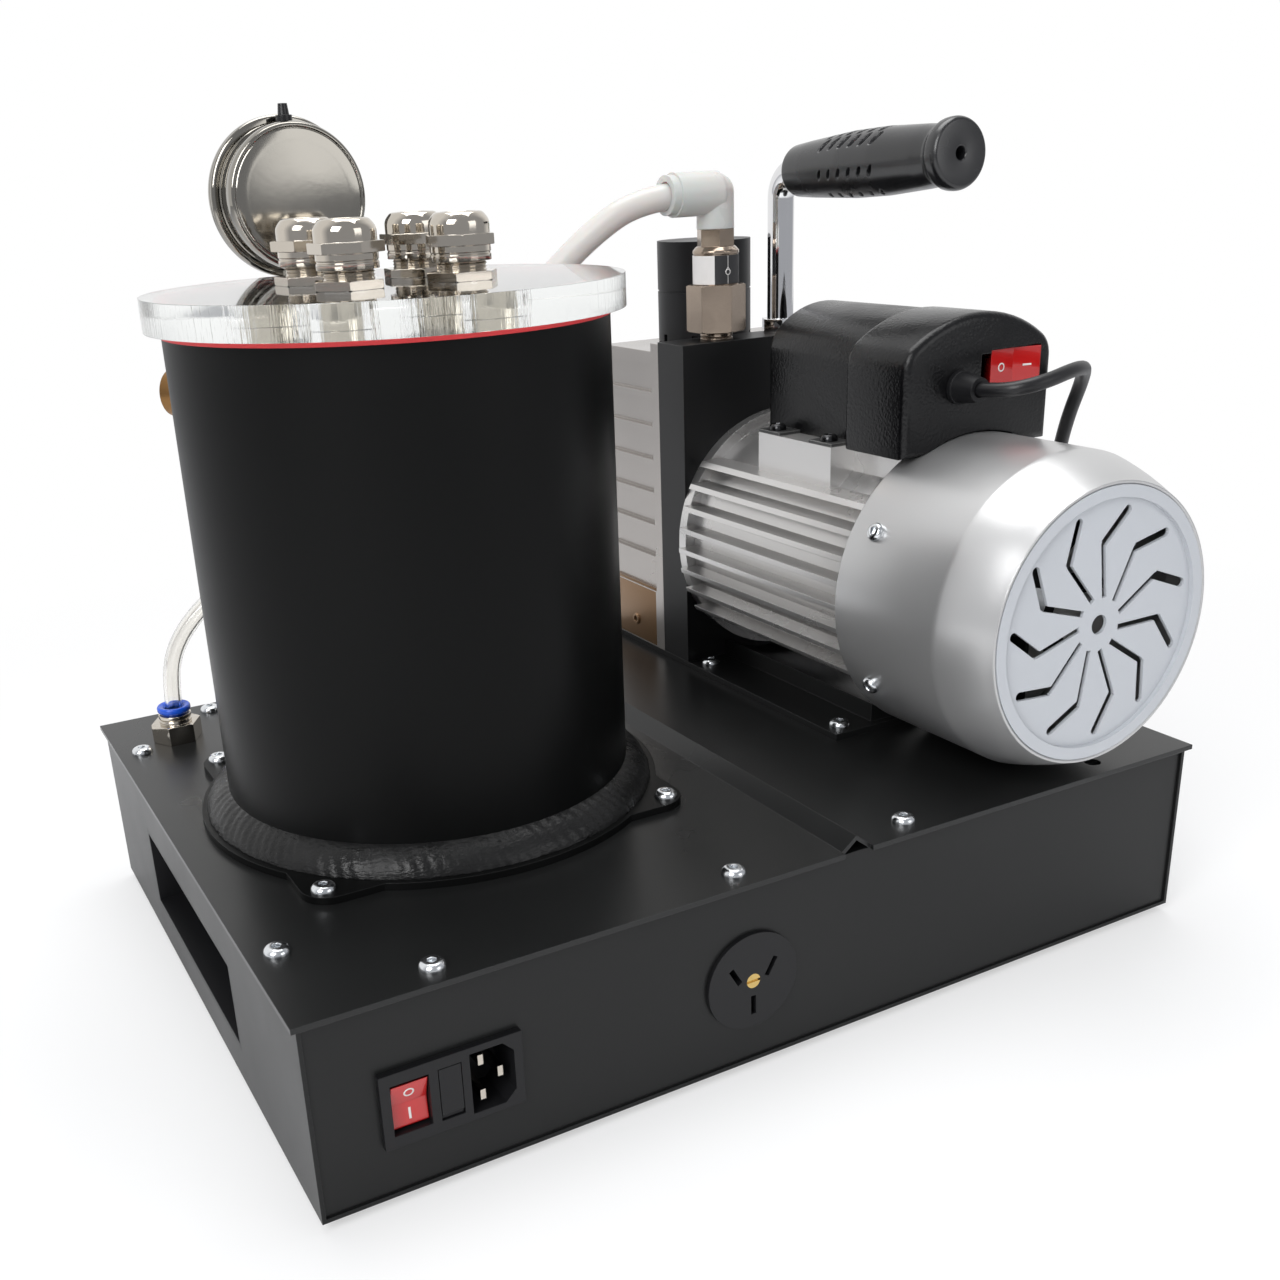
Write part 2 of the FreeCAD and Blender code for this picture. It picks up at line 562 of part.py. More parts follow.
def outlet_slots(width, long, start, deep):
    """The two slanted line slots above the screw and the upright earth slot below it."""
    slots = []
    for side in LEFT_RIGHT:
        blade = block((-width / 2, width / 2), (start, start + deep), (-long / 2, long / 2))
        slots.append(moved(blade, s.outlet_x + side * s.slot_reach, as_size(0),
                           s.outlet_z + s.slot_reach / 2,
                           Rotation(Vector(0, 1, 0), side * s.slot_lean.value)))
    earth_z = s.outlet_z - s.earth_drop
    slots.append(block((s.outlet_x - width / 2, s.outlet_x + width / 2), (start, start + deep),
                       (earth_z - long / 2, earth_z + long / 2)))
    return slots


def outlet_body():
    rim = rod(s.outlet_d, s.outlet_rim, s.outlet_x, s.panel_in - s.outlet_rim, s.outlet_z, "y")
    body = rod(s.outlet_body_d, s.outlet_deep, s.outlet_x, s.panel_in, s.outlet_z, "y")
    screw = rod(s.outlet_screw_d, s.outlet_deep / 2, s.outlet_x, s.panel_in - s.outlet_rim,
                s.outlet_z, "y")
    slots = outlet_slots(s.slot_w, s.slot_long, s.panel_in - 2 * s.outlet_rim, s.outlet_deep)
    return cut(fuse(rim, body), screw, *slots)


def outlet_contacts():
    start = s.panel_in + s.outlet_deep - 2 * s.outlet_rim - s.contact_deep
    return outlet_slots(s.contact, s.slot_long, start, s.contact_deep)


def outlet_screw():
    front = s.panel_in - s.outlet_rim
    body = rod(s.outlet_screw_d, s.outlet_deep / 2, s.outlet_x, front, s.outlet_z, "y")
    slot = block((s.outlet_x - s.outlet_screw_d, s.outlet_x + s.outlet_screw_d),
                 (front - 1, front + s.notch_deep),
                 (s.outlet_z - s.driver_slot / 2, s.outlet_z + s.driver_slot / 2))
    return cut(body, slot)


flange_top = deck + s.flange


def wall_rod(diameter, start, length, z, angle):
    """A rod that stands out of the chamber's wall at an angle, start measured from its axis."""
    rod_shape = rod(diameter, length, start, as_size(0), as_size(0), "x")
    return moved(rod_shape, s.chamber_x, s.chamber_y, z, Rotation(Vector(0, 0, 1), angle))


def chamber_body():
    x = s.chamber_x
    y = s.chamber_y
    radius = s.tube_d / 2
    tube = rod(s.tube_d, s.tube_top - flange_top, x, y, flange_top)
    bead = cone(s.tube_d + 2 * s.bead, s.tube_d, s.bead, x, y, flange_top)
    rear_boss = wall_rod(s.boss_d, radius - s.tube_wall / 2, s.wall_boss + s.tube_wall / 2, s.port_z, 90)
    vent_boss = wall_rod(s.boss_d, radius - s.tube_wall / 2, s.wall_boss + s.tube_wall / 2, s.vent_z,
                         s.vent_angle.value)
    hollow = rod(s.tube_d - 2 * s.tube_wall, s.tube_top, x, y, flange_top + s.floor)
    ports = [wall_rod(s.port_d, radius / 2, radius, s.port_z, 90),
             wall_rod(s.port_d, radius / 2, radius, s.vent_z, s.vent_angle.value)]
    return cut(fuse(tube, bead, rear_boss, vent_boss), hollow, *ports)


def flange_screw_places():
    return [(s.chamber_x + sx * s.ear_screw, s.chamber_y + sy * s.ear_screw) for sx, sy in CORNERS]


def chamber_flange():
    x = s.chamber_x
    y = s.chamber_y
    half = s.ear_half
    flat = s.ear_half - s.ear_round
    bulge = s.ear_round
    disc = rod(s.flange_d, s.flange, x, y, deck)
    ears = prism([(x - flat, y - half), (x + flat, y - half, bulge), (x + half, y - flat),
                  (x + half, y + flat, bulge), (x + flat, y + half), (x - flat, y + half, bulge),
                  (x - half, y + flat), (x - half, y - flat, bulge)], deck, s.flange)
    holes = [rod(s.screw_hole, 3 * s.flange, px, py, deck - s.flange) for px, py in flange_screw_places()]
    return cut(fuse(disc, ears), *holes)


lid_low = s.tube_top + s.gasket + s.lid_gap
lid_top = lid_low + s.lid


def gland_places():
    return [(s.chamber_x + sx * s.gland_off, s.chamber_y + sy * s.gland_off) for sx, sy in CORNERS]


def lid():
    disc = rod(s.lid_d, s.lid, s.chamber_x, s.chamber_y, lid_low)
    holes = [rod(s.gland_shank_d + 2 * s.thread_gap, 2 * s.lid, x, y, lid_low - s.lid / 2)
             for x, y in gland_places()]
    return cut(disc, *holes)


def gland_body(x, y):
    """Hexagon foot on the lid, threaded neck above it and shank down through the lid."""
    foot = hexagon(s.gland_base_af, s.gland_base, x, y, lid_top)
    neck = rod(s.gland_neck_d, s.gland_neck + s.gland_base, x, y, lid_top)
    shank = rod(s.gland_shank_d, s.lid, x, y, lid_low)
    bore = rod(s.gland_bore, 4 * s.lid, x, y, lid_low - s.lid)
    return cut(fuse(foot, neck, shank), bore)


def gland_seal(x, y):
    """Rubber blanking plug through a gland, its head in the nut's mouth."""
    neck_top = lid_top + s.gland_base + s.gland_neck
    stem = rod(s.seal_d, neck_top - lid_low, x, y, lid_low)
    head = rod(s.nut_mouth - 2 * s.thread_gap, s.seal_head, x, y, neck_top)
    return fuse(stem, head)


nut_low = lid_top + s.gland_base + s.nut_lift
nut_tall = s.nut_low + s.nut_band + s.nut_high + s.nut_dome


def gland_nut(x, y):
    """Domed clamping nut with a hexagon band round its middle."""
    radius = s.nut_d / 2
    shoulder = nut_tall - s.nut_dome
    dome = turned([(as_size(0), as_size(0)), (radius, as_size(0)), (radius, shoulder, s.nut_dome),
                   (radius - s.nut_dome, nut_tall), (as_size(0), nut_tall)], x, y, nut_low)
    band = hexagon(s.nut_af, s.nut_band, x, y, nut_low + s.nut_low)
    thread = rod(s.gland_neck_d + 2 * s.thread_gap, s.gland_neck, x, y, nut_low - s.nut_lift)
    mouth = rod(s.nut_mouth, 2 * nut_tall, x, y, nut_low)
    return cut(fuse(dome, band), thread, mouth)


gauge_rim_y = s.gauge_back + s.case_deep
stem_y = s.gauge_back + s.case_deep / 2


def gauge_case():
    """Round cup open towards the back of the machine, with the stem under it."""
    radius = s.case_d / 2
    shell = turned([(as_size(0), as_size(0)), (radius - s.case_round, as_size(0), s.case_round),
                    (radius, s.case_round), (radius, s.case_deep), (as_size(0), s.case_deep)],
                   s.chamber_x, s.gauge_back, s.gauge_z, "y")
    hollow = rod(s.case_d - 2 * s.case_wall, s.case_deep, s.chamber_x, s.gauge_back + s.case_wall,
                 s.gauge_z, "y")
    stem = hexagon(s.stem_af, s.stem_long, s.chamber_x, stem_y,
                   s.gauge_z - radius - s.stem_long + s.case_wall)
    spigot_low = s.port_z
    spigot = rod(s.stem_d, s.gauge_z - radius - spigot_low, s.chamber_x, stem_y, spigot_low)
    post_long = s.case_deep - s.dial_in - s.case_wall
    post = rod(s.hub_d, post_long, s.chamber_x, s.gauge_back + s.case_wall, s.gauge_z, "y")
    return fuse(cut(shell, hollow), stem, spigot, post)


dial_y = gauge_rim_y - s.dial_in
pointer_y = dial_y + s.dial + s.pointer_off


def gauge_dial():
    return ring(s.case_d - 2 * s.case_wall - 2 * s.lens_gap, s.arbor_d + 2 * s.lens_gap, s.dial,
                s.chamber_x, dial_y, s.gauge_z, "y")


def gauge_pointer():
    """Tapered needle on its arbor; at rest it points to the lower right of the dial."""
    half = s.pointer * 1.2
    needle = prism([(-half * 2, -s.pointer_tail), (half * 2, -s.pointer_tail), (half / 2, s.pointer_long),
                    (-half / 2, s.pointer_long)], pointer_y, s.pointer, "y")
    needle = moved(needle, s.chamber_x, as_size(0), s.gauge_z, Rotation(Vector(0, 1, 0), -135))
    hub = rod(s.hub_d, s.pointer * 1.5, s.chamber_x, pointer_y, s.gauge_z, "y")
    arbor = rod(s.arbor_d, s.dial + s.pointer_off, s.chamber_x, dial_y, s.gauge_z, "y")
    return fuse(needle, hub, arbor)


def gauge_bezel():
    """Turned ring that grips the case's mouth and laps over the lens."""
    start = gauge_rim_y - s.bezel_deep / 2
    outer = rod(s.bezel_d, s.bezel_deep, s.chamber_x, start, s.gauge_z, "y")
    over_case = rod(s.case_d + 2 * s.lens_gap, s.bezel_deep / 2 + s.lens + 2 * s.lens_gap, s.chamber_x,
                    start, s.gauge_z, "y")
    mouth = rod(s.bezel_d - 4 * s.bezel_lip, 2 * s.bezel_deep, s.chamber_x, start, s.gauge_z, "y")
    return cut(outer, over_case, mouth)


def gauge_lens():
    return rod(s.case_d, s.lens, s.chamber_x, gauge_rim_y + s.lens_gap, s.gauge_z, "y")


def gauge_plug():
    low = s.gauge_z + s.case_d / 2 - s.case_wall / 2
    collar = rod(s.plug_d, s.plug_collar, s.chamber_x, stem_y, low)
    tip = cone(s.plug_low_d, s.plug_top_d, s.plug_tall, s.chamber_x, stem_y, low)
    return cut(fuse(collar, tip), rod(s.case_d, s.case_deep, s.chamber_x, s.gauge_back, s.gauge_z, "y"))


manifold_x = s.manifold / 2


def manifold():
    """Block behind the chamber: gauge on top, hose to the right, clear tube below, chamber in front."""
    low = s.port_z - s.manifold_tall / 2
    high = s.port_z + s.manifold_tall / 2
    body = block((s.chamber_x - manifold_x, s.chamber_x + manifold_x),
                 (stem_y - manifold_x, stem_y + manifold_x), (low, high))
    wall = s.chamber_y + s.tube_d / 2 + s.wall_boss
    nipple = rod(s.nipple_d, stem_y - wall, s.chamber_x, wall, s.port_z, "y")
    side = rod(s.side_port_d, s.side_port, s.chamber_x + manifold_x, stem_y, s.port_z, "x")
    under = rod(s.fitting_d, s.side_port, s.chamber_x, stem_y, low - s.side_port)
    bores = [rod(s.stem_d, s.manifold_tall, s.chamber_x, stem_y, s.port_z),
             rod(s.hose_d, s.side_port / 2, s.chamber_x + manifold_x + s.side_port / 2, stem_y,
                 s.port_z, "x"),
             rod(s.clear_tube_d, s.side_port / 2, s.chamber_x, stem_y, low - s.side_port),
             rod(s.port_d, s.manifold_tall, s.chamber_x, stem_y, low - s.side_port / 2),
             rod(s.port_d, s.manifold * 1.4, s.chamber_x, wall, s.port_z, "y"),
             rod(s.port_d, s.manifold, s.chamber_x, stem_y, s.port_z, "x")]
    return cut(fuse(body, nipple, side, under), *bores)


knob_start = s.tube_d / 2 + s.wall_boss + s.knob_gap


def vent_knob():
    """Knurled knob that closes the vent port, its spindle inside the port."""
    angle = s.vent_angle.value
    neck = wall_rod(s.knob_neck_d, knob_start, s.knob_long / 3, s.vent_z, angle)
    grip = wall_rod(s.knob_d, knob_start + s.knob_long / 3, s.knob_long, s.vent_z, angle)
    spindle = wall_rod(s.port_d - 2 * s.shaft_fit, knob_start - s.wall_boss, s.wall_boss + 1,
                       s.vent_z, angle)
    return fuse(neck, grip, spindle)


fitting_top = deck + s.fitting_hex + s.fitting_collar
collar_top = fitting_top + s.collar_press + s.collar_flange


def tube_fitting():
    x = s.fitting_x
    y = s.fitting_y
    hexagon_part = hexagon(s.fitting_af, s.fitting_hex, x, y, deck)
    sleeve = rod(s.fitting_d, fitting_top - deck + 3 * s.plate, x, y, deck - 3 * s.plate)
    lock = hexagon(s.fitting_af, s.plate * 1.5, x, y, s.base_tall - s.plate * 1.5)
    seat = rod(s.collar_neck_d + 2 * s.collar_wall_gap, s.fitting_hex, x, y, fitting_top - s.fitting_hex)
    bore = rod(s.clear_tube_d * 0.75, s.base_tall, x, y, s.base_tall / 2)
    return cut(fuse(hexagon_part, sleeve, lock), seat, bore)


def tube_collar():
    """Release collar of the push-in fitting, which moves down to let the tube go."""
    x = s.fitting_x
    y = s.fitting_y
    flange = rod(s.collar_d, s.collar_flange, x, y, fitting_top + s.collar_press)
    neck = rod(s.collar_neck_d, s.fitting_hex / 2, x, y, fitting_top + s.collar_press - s.fitting_hex / 2)
    bore = rod(s.clear_tube_d + 2 * s.tube_fit, s.base_tall, x, y, deck)
    return cut(fuse(flange, neck), bore)


foot_top = deck + s.foot_plate


def pump_span(half):
    return (s.pump_x - half, s.pump_x + half)


def foot_screw_places():
    return [(x, y) for x in (s.pump_x - s.foot_left + s.edge_in, s.pump_x + s.foot_right - s.edge_in)
            for y in (s.foot_front + s.edge_in, s.block_front - s.edge_in)]


def pump_foot():
    """Sheet foot with a cradle under the motor's belly."""
    plate = block((s.pump_x - s.foot_left, s.pump_x + s.foot_right), (s.foot_front, pump_back),
                  (deck, foot_top))
    belly = s.pump_z - s.core_d / 4
    cradle = block(pump_span(s.cradle_half), (s.cradle_front, s.block_front), (foot_top, belly))
    hollow = rod(s.fin_d, s.base_d, s.pump_x, as_size(0), s.pump_z, "y")
    holes = [rod(s.screw_hole, 3 * s.foot_plate, x, y, deck - s.foot_plate) for x, y in foot_screw_places()]
    return cut(fuse(plate, cradle), hollow, *holes)


def foot_screws():
    return [button_screw(x, y, foot_top, length=s.foot_plate) for x, y in foot_screw_places()]


block_rear = s.block_front + s.block
tank_start = block_rear + s.tank_flange
block_middle = s.block_front + s.block / 2


def pump_block():
    body = block(pump_span(s.block_half), (s.block_front, block_rear), (foot_top, s.block_top))
    shaft = rod(s.shaft_d + 2 * s.shaft_fit, 2 * s.block, s.pump_x, s.block_front - s.block / 2,
                s.pump_z, "y")
    inlet = rod(s.seat_d, s.block, s.valve_x, block_middle, s.block_top - s.block)
    return cut(body, shaft, inlet)


def oil_tank():
    """Ribbed oil casing behind its mounting flange, with a plain sump below the ribs."""
    rear = tank_start + s.tank_deep
    flange = block(pump_span(s.block_half), (block_rear, tank_start), (foot_top, s.block_top - 1))
    sump = block(pump_span(s.block_half), (tank_start, rear), (foot_top, s.sump_top))
    inner = s.block_half - s.rib
    casing = block(pump_span(inner), (tank_start, rear - s.rib), (s.sump_top, s.tank_top))
    ribs = []
    for number in range(int(s.rib_count.value)):
        low = s.rib_low + number * s.rib_pitch
        ribs.append(block(pump_span(s.block_half), (tank_start, rear), (low, low + s.rib_gap)))
    roof = block(pump_span(s.block_half), (tank_start, rear), (s.tank_top - s.rib_gap, s.tank_top))
    neck = rod(s.cap_neck_d, s.cap_neck, s.cap_x, s.cap_y, s.tank_top)
    hollow = block(pump_span(inner - s.tank_wall), (tank_start, rear - s.rib - s.tank_wall),
                   (foot_top + s.tank_wall, s.tank_top - s.tank_wall))
    breather = rod(s.cap_neck_d / 2, 2 * s.cap_neck, s.cap_x, s.cap_y, s.tank_top - s.cap_neck)
    shaft = rod(s.shaft_d + 2 * s.shaft_fit, 2 * s.tank_flange, s.pump_x, block_rear - s.tank_flange / 2,
                s.pump_z, "y")
    sight = rod(s.sight_d, s.tank_deep, s.pump_x, rear - s.rib, s.pump_z, "y")
    bezel = ring(s.sight_d + 2 * s.rib, s.sight_d, s.rib, s.pump_x, rear - s.rib, s.pump_z, "y")
    return cut(fuse(flange, sump, casing, *ribs, roof, neck, bezel), hollow, breather, shaft, sight)


def exhaust_cap():
    """Deep round cap over the oil tank's breather neck."""
    low = s.tank_top + s.cap_clear
    body = rod(s.cap_d, s.cap_tall, s.cap_x, s.cap_y, low)
    waist = ring(s.cap_d + s.cap_groove, s.cap_d - s.cap_groove, s.cap_groove, s.cap_x, s.cap_y,
                 low + s.cap_tall / 2)
    socket = rod(s.cap_neck_d + 2 * s.cap_clear, s.cap_neck + s.cap_clear, s.cap_x, s.cap_y, low)
    vents = [moved(block((s.cap_d / 2 - s.cap_wall / 2, s.cap_d), (-s.rib / 2, s.rib / 2),
                         (low, low + s.cap_wall)), s.cap_x, s.cap_y, as_size(0),
                   Rotation(Vector(0, 0, 1), angle)) for angle in range(0, 360, 45)]
    return cut(body, waist, socket, *vents)


motor_long = s.block_front - s.motor_front


def motor_shell():
    """Aluminium casing with level cooling fins and an end ring at the pump block."""
    y = s.motor_front
    core = rod(s.core_d, motor_long, s.pump_x, y, s.pump_z, "y")
    fin_start = s.cover_rear + s.cover_gap
    envelope = rod(s.fin_d, s.block_front - s.fin_clear - fin_start, s.pump_x, fin_start, s.pump_z, "y")
    fins = []
    for number in range(int(s.fin_count.value)):
        middle = s.fin_low + number * s.fin_pitch
        fins.append(block(pump_span(s.fin_d / 2), (fin_start, s.block_front),
                          (middle - s.fin / 2, middle + s.fin / 2)))
    ribs = common(envelope, fuse(*fins))
    end = rod(s.core_d + 2 * s.core_wall, s.end_ring, s.pump_x, s.block_front - s.end_ring, s.pump_z, "y")
    shield = rod(s.cover_d - 2 * (s.cover_sheet + s.cover_gap), s.shield, s.pump_x, y, s.pump_z, "y")
    seat = block(pump_span(s.saddle_half), (s.cover_rear + 1, s.box_rear), (s.pump_z, s.box_low))
    pad = block(pump_span(s.box_half_rear + s.tab_drop),
                (s.tab_front - s.tab_w / 2, s.tab_front + s.tab_step + s.tab_w / 2),
                (s.pump_z + s.core_d / 4, s.box_low))
    holes = [rod(s.screw_hole, s.screw_deep, x, y_hole, s.box_low - s.screw_deep)
             for x, y_hole in tab_screw_places()]
    holes += polar([rod(s.screw_d, s.cover_d, as_size(0), s.cover_screw_y, as_size(0), "x")],
                   cover_screw_angles(), s.pump_x, s.pump_z)
    hollow = rod(s.core_d - 2 * s.core_wall, motor_long - s.end_ring - s.web, s.pump_x, y + s.web,
                 s.pump_z, "y")
    shaft = rod(s.shaft_d + 2 * s.shaft_fit, 2 * motor_long, s.pump_x, y - motor_long / 2, s.pump_z, "y")
    return cut(fuse(core, ribs, end, shield, seat, pad), hollow, shaft, *holes)


def stator_core():
    outer = s.core_d - 2 * s.core_wall
    return ring(outer, s.rotor_d + 2 * s.rotor_gap, s.stator_long, s.pump_x, s.stator_front, s.pump_z, "y")


def motor_rotor():
    """Shaft from the fan to the pump, with the rotor core inside the motor and the pump's rotor."""
    front = s.fan_y - s.shaft_tip
    shaft = rod(s.shaft_d, tank_start + s.hub - front, s.pump_x, front, s.pump_z, "y")
    core = rod(s.rotor_d, s.rotor_long, s.pump_x, s.stator_front - s.play, s.pump_z, "y")
    vane_rotor = rod(2 * s.hub, s.hub, s.pump_x, tank_start + s.play, s.pump_z, "y")
    vanes = (tank_start + s.play, tank_start + s.play + s.hub)
    slots = [moved(block((s.hub / 2, s.hub * 2), vanes,
                         (-s.blade / 2, s.blade / 2)), s.pump_x, as_size(0), s.pump_z,
                   Rotation(Vector(0, 1, 0), angle)) for angle in (0, 180)]
    return cut(fuse(shaft, core, vane_rotor), *slots)


def cooling_fan():
    """Hub and straight blades pressed on the shaft's front end."""
    hub = rod(s.fan_hub_d, s.fan_deep, s.pump_x, s.fan_y, s.pump_z, "y")
    blade = block((s.fan_hub_d / 2 - 1, s.fan_d / 2), (s.fan_y, s.fan_y + s.fan_deep),
                  (-s.blade / 2, s.blade / 2))
    count = int(s.blade_count.value)
    blades = polar([blade], [360 * number / count for number in range(count)], s.pump_x, s.pump_z)
    bore = rod(s.shaft_d, s.fan_deep, s.pump_x, s.fan_y, s.pump_z, "y")
    return cut(fuse(hub, *blades), bore)


def cover_profile(inset):
    """Half section of the fan cover, inset by the sheet for its hollow."""
    rear = s.cover_rear - s.cover_front
    shoulder = s.cover_shoulder - s.cover_front
    outer = s.cover_d / 2 - inset
    mouth = s.cover_mouth_d / 2 - inset
    edge = (outer - mouth) / 4
    return [(as_size(0), inset), (mouth - inset, inset), (mouth, inset * 2 + edge, s.cover_bulge),
            (outer, shoulder), (outer, rear + inset), (as_size(0), rear + inset)]


def fan_cover():
    body = turned(cover_profile(as_size(0)), s.pump_x, s.cover_front, s.pump_z, "y")
    hollow = turned(cover_profile(s.cover_sheet), s.pump_x, s.cover_front, s.pump_z, "y")
    mouth = rod(s.grille_d, s.cover_shoulder - s.cover_front, s.pump_x, s.cover_front - 1, s.pump_z, "y")
    holes = polar([rod(s.screw_d, s.cover_d, as_size(0), s.cover_screw_y, as_size(0), "x")],
                  cover_screw_angles(), s.pump_x, s.pump_z)
    return cut(body, hollow, mouth, *holes)


def cover_screw_angles():
    lean = s.cover_screw_angle.value
    return [lean, -lean, 180 + lean, 180 - lean]


def polar_point(radius, degrees):
    angle = math.radians(degrees)
    return radius.value * math.cos(angle), radius.value * math.sin(angle)


def grille_leg(start, end, width):
    """A straight slot with round ends through the grille, from one point of its face to another."""
    deep = s.grille_in + 2 * s.grille
    long = as_size(math.hypot(end[0] - start[0], end[1] - start[1]))
    slot = block((as_size(0), long), (as_size(0), deep), (-width / 2, width / 2))
    tip = rod(width, deep, long, as_size(0), as_size(0), "y")
    angle = -math.degrees(math.atan2(end[1] - start[1], end[0] - start[0]))
    return moved(fuse(slot, tip), as_size(start[0]), as_size(0), as_size(start[1]),
                 Rotation(Vector(0, 1, 0), angle))


def fan_grille():
    """White front plate with a raised rim and dog-leg air slots round its middle."""
    front = s.cover_front
    rim = ring(s.grille_d, s.grille_d - 2 * s.grille_rim, s.grille_in + s.grille, s.pump_x, front,
               s.pump_z, "y")
    plate = rod(s.grille_d - s.grille_rim, s.grille, s.pump_x, front + s.grille_in, s.pump_z, "y")
    hole = rod(s.grille_hole, 2 * s.grille_rim, s.pump_x, front, s.pump_z, "y")
    inner = polar_point(s.slot_in_r, 0)
    elbow = polar_point(s.slot_elbow_r, s.slot_elbow_turn.value)
    outer = polar_point(s.slot_out_r, s.slot_out_turn.value)
    legs = [grille_leg(inner, elbow, s.slot_narrow), grille_leg(elbow, outer, s.slot_broad)]
    count = int(s.slot_count.value)
    angles = [360 * number / count - s.slot_first.value for number in range(count)]
    slots = polar(legs, angles, s.pump_x, s.pump_z, front)
    return cut(fuse(rim, plate), hole, *slots)


def cover_screws():
    screws = []
    for angle in cover_screw_angles():
        head = cone(s.cover_head_top_d, s.cover_head_d, s.cover_head, s.cover_d / 2 + s.cover_head,
                    s.cover_screw_y, as_size(0), "-x")
        shank = rod(s.screw_d - 2 * s.thread_gap, s.cover_lug, s.cover_d / 2 - s.cover_lug,
                    s.cover_screw_y, as_size(0), "x")
        screws += polar([fuse(head, shank)], [angle], s.pump_x, s.pump_z)
    return screws


def box_arch(half, inset, side_top, top):
    """Arched outline of the terminal box across the machine."""
    x0 = s.pump_x - half + inset
    x1 = s.pump_x + half - inset
    low = s.box_low
    rise = top.value - side_top.value
    radius = ((half.value - inset.value) ** 2 + rise ** 2) / (2 * rise)
    return [(x0, low), (x1, low), (x1, side_top - inset, as_size(radius)), (x0, side_top - inset)]


def terminal_box():
    """Moulded box with an arched roof; its front part is wider and takes the switch and cable."""
    front = prism(box_arch(s.box_half, as_size(0), s.box_side_top, s.box_top), s.box_front,
                  s.box_step - s.box_front, "y")
    rear = prism(box_arch(s.box_half_rear, as_size(0), s.box_side_top, s.box_top), s.box_step,
                 s.box_rear - s.box_step, "y")
    hollow = prism(box_arch(s.box_half_rear, s.box_wall, s.box_side_top, s.box_top - s.box_wall),
                   s.box_front + s.box_wall, s.box_rear - s.box_front - 2 * s.box_wall, "y")
    x = s.switch_x
    half_w = s.switch_w / 2 + s.switch_gap
    half_t = s.switch_tall / 2 + s.switch_gap
    switch = block((x - half_w, x + half_w), (s.box_front - 1, s.box_front + s.switch_deep + 1),
                   (s.switch_z - half_t, s.switch_z + half_t))
    relief = rod(s.relief_d - 2 * s.relief_flange, 3 * s.box_wall, s.relief_x, s.box_front - s.box_wall,
                 s.relief_z, "y")
    over_cover = rod(s.cover_d + 1, s.cover_rear - s.box_front + 2, s.pump_x, s.box_front - 1, s.pump_z, "y")
    return cut(fuse(front, rear), hollow, switch, relief, over_cover)


def box_tabs():
    """Two bent sheet tabs on each long side of the box, resting on the motor's saddle."""
    tabs = []
    for side in LEFT_RIGHT:
        for number in (0, 1):
            y = s.tab_front + number * s.tab_step
            near = s.pump_x + side * s.box_half_rear
            far = s.pump_x + side * (s.box_half_rear + s.tab_drop)
            xs = (near, far) if side > 0 else (far, near)
            tabs.append(block(xs, (y - s.tab_w / 2, y + s.tab_w / 2), (s.box_low, s.box_low + s.tab)))
    return [cut(tab, rod(s.screw_hole, 4 * s.tab, x, y, s.box_low - s.tab))
            for tab, (x, y) in zip(tabs, tab_screw_places())]


def tab_screw_places():
    reach = s.box_half_rear + s.tab_drop / 2 + 1
    return [(s.pump_x + side * reach, s.tab_front + number * s.tab_step)
            for side in LEFT_RIGHT for number in (0, 1)]


def pump_rocker():
    deep = s.switch_deep - s.rocker_gap * 5
    return rocker(s.switch_x, s.switch_z, s.switch_tall, s.switch_w, s.box_front, deep, False)


def strain_relief():
    front = s.box_front
    flange = rod(s.relief_d, s.relief_flange, s.relief_x, front, s.relief_z, "-y")
    plug = rod(s.relief_d - 2 * s.relief_flange, s.box_wall, s.relief_x, front, s.relief_z, "y")
    nose = cone(s.relief_d - 1, s.relief_tip_d, s.relief_long, s.relief_x, front - s.relief_flange,
                s.relief_z, "-y")
    bore = rod(s.cable_d, 4 * s.relief_long, s.relief_x, front + s.relief_long * 2, s.relief_z, "-y")
    return cut(fuse(flange, plug, nose), bore)


def bent_rod(diameter, low_z, bend, rise_z, reach_y, tilt):
    """A round bar that climbs from low_z and turns forward, tilted up by tilt degrees."""
    x = s.handle_x.value
    y = block_middle.value
    lean = math.radians(tilt)
    ahead = Vector(0, -math.cos(lean), math.sin(lean))
    corner = Vector(x, y, rise_z)
    sweep = math.radians(90 - tilt)
    lead = bend * math.tan(sweep / 2)
    first = corner - Vector(0, 0, lead)
    second = corner + ahead * lead
    centre = first + Vector(0, -bend, 0)
    middle_way = (corner - centre).normalize()
    end = corner + ahead * ((y - reach_y) / math.cos(lean))
    edges = [Part.LineSegment(Vector(x, y, low_z), first).toShape(),
             Part.Arc(first, centre + middle_way * bend, second).toShape(),
             Part.LineSegment(second, end).toShape()]
    section = Part.Wire(Part.makeCircle(diameter / 2, Vector(x, y, low_z), Vector(0, 0, 1)))
    return Part.Wire(edges).makePipeShell([section], True, False)


def handle_tube():
    low = s.block_top.value
    sizes = (s.handle_bend.value, s.grip_rear_z.value, s.grip_end_y.value + s.grip_flange.value + 1,
             s.grip_tilt.value)
    outer = bent_rod(s.handle_d.value, low, *sizes)
    inner = bent_rod(s.handle_d.value - 2 * s.handle_wall.value, low, *sizes)
    tube = doc.addObject("Part::Feature", "BentTube")
    tube.Shape = outer.cut(inner)
    nut = cut(hexagon(s.handle_nut_af, s.handle_nut, s.handle_x, block_middle, s.block_top),
              rod(s.handle_d, 2 * s.handle_nut, s.handle_x, block_middle, s.block_top - s.handle_nut / 2))
    return [tube, nut]


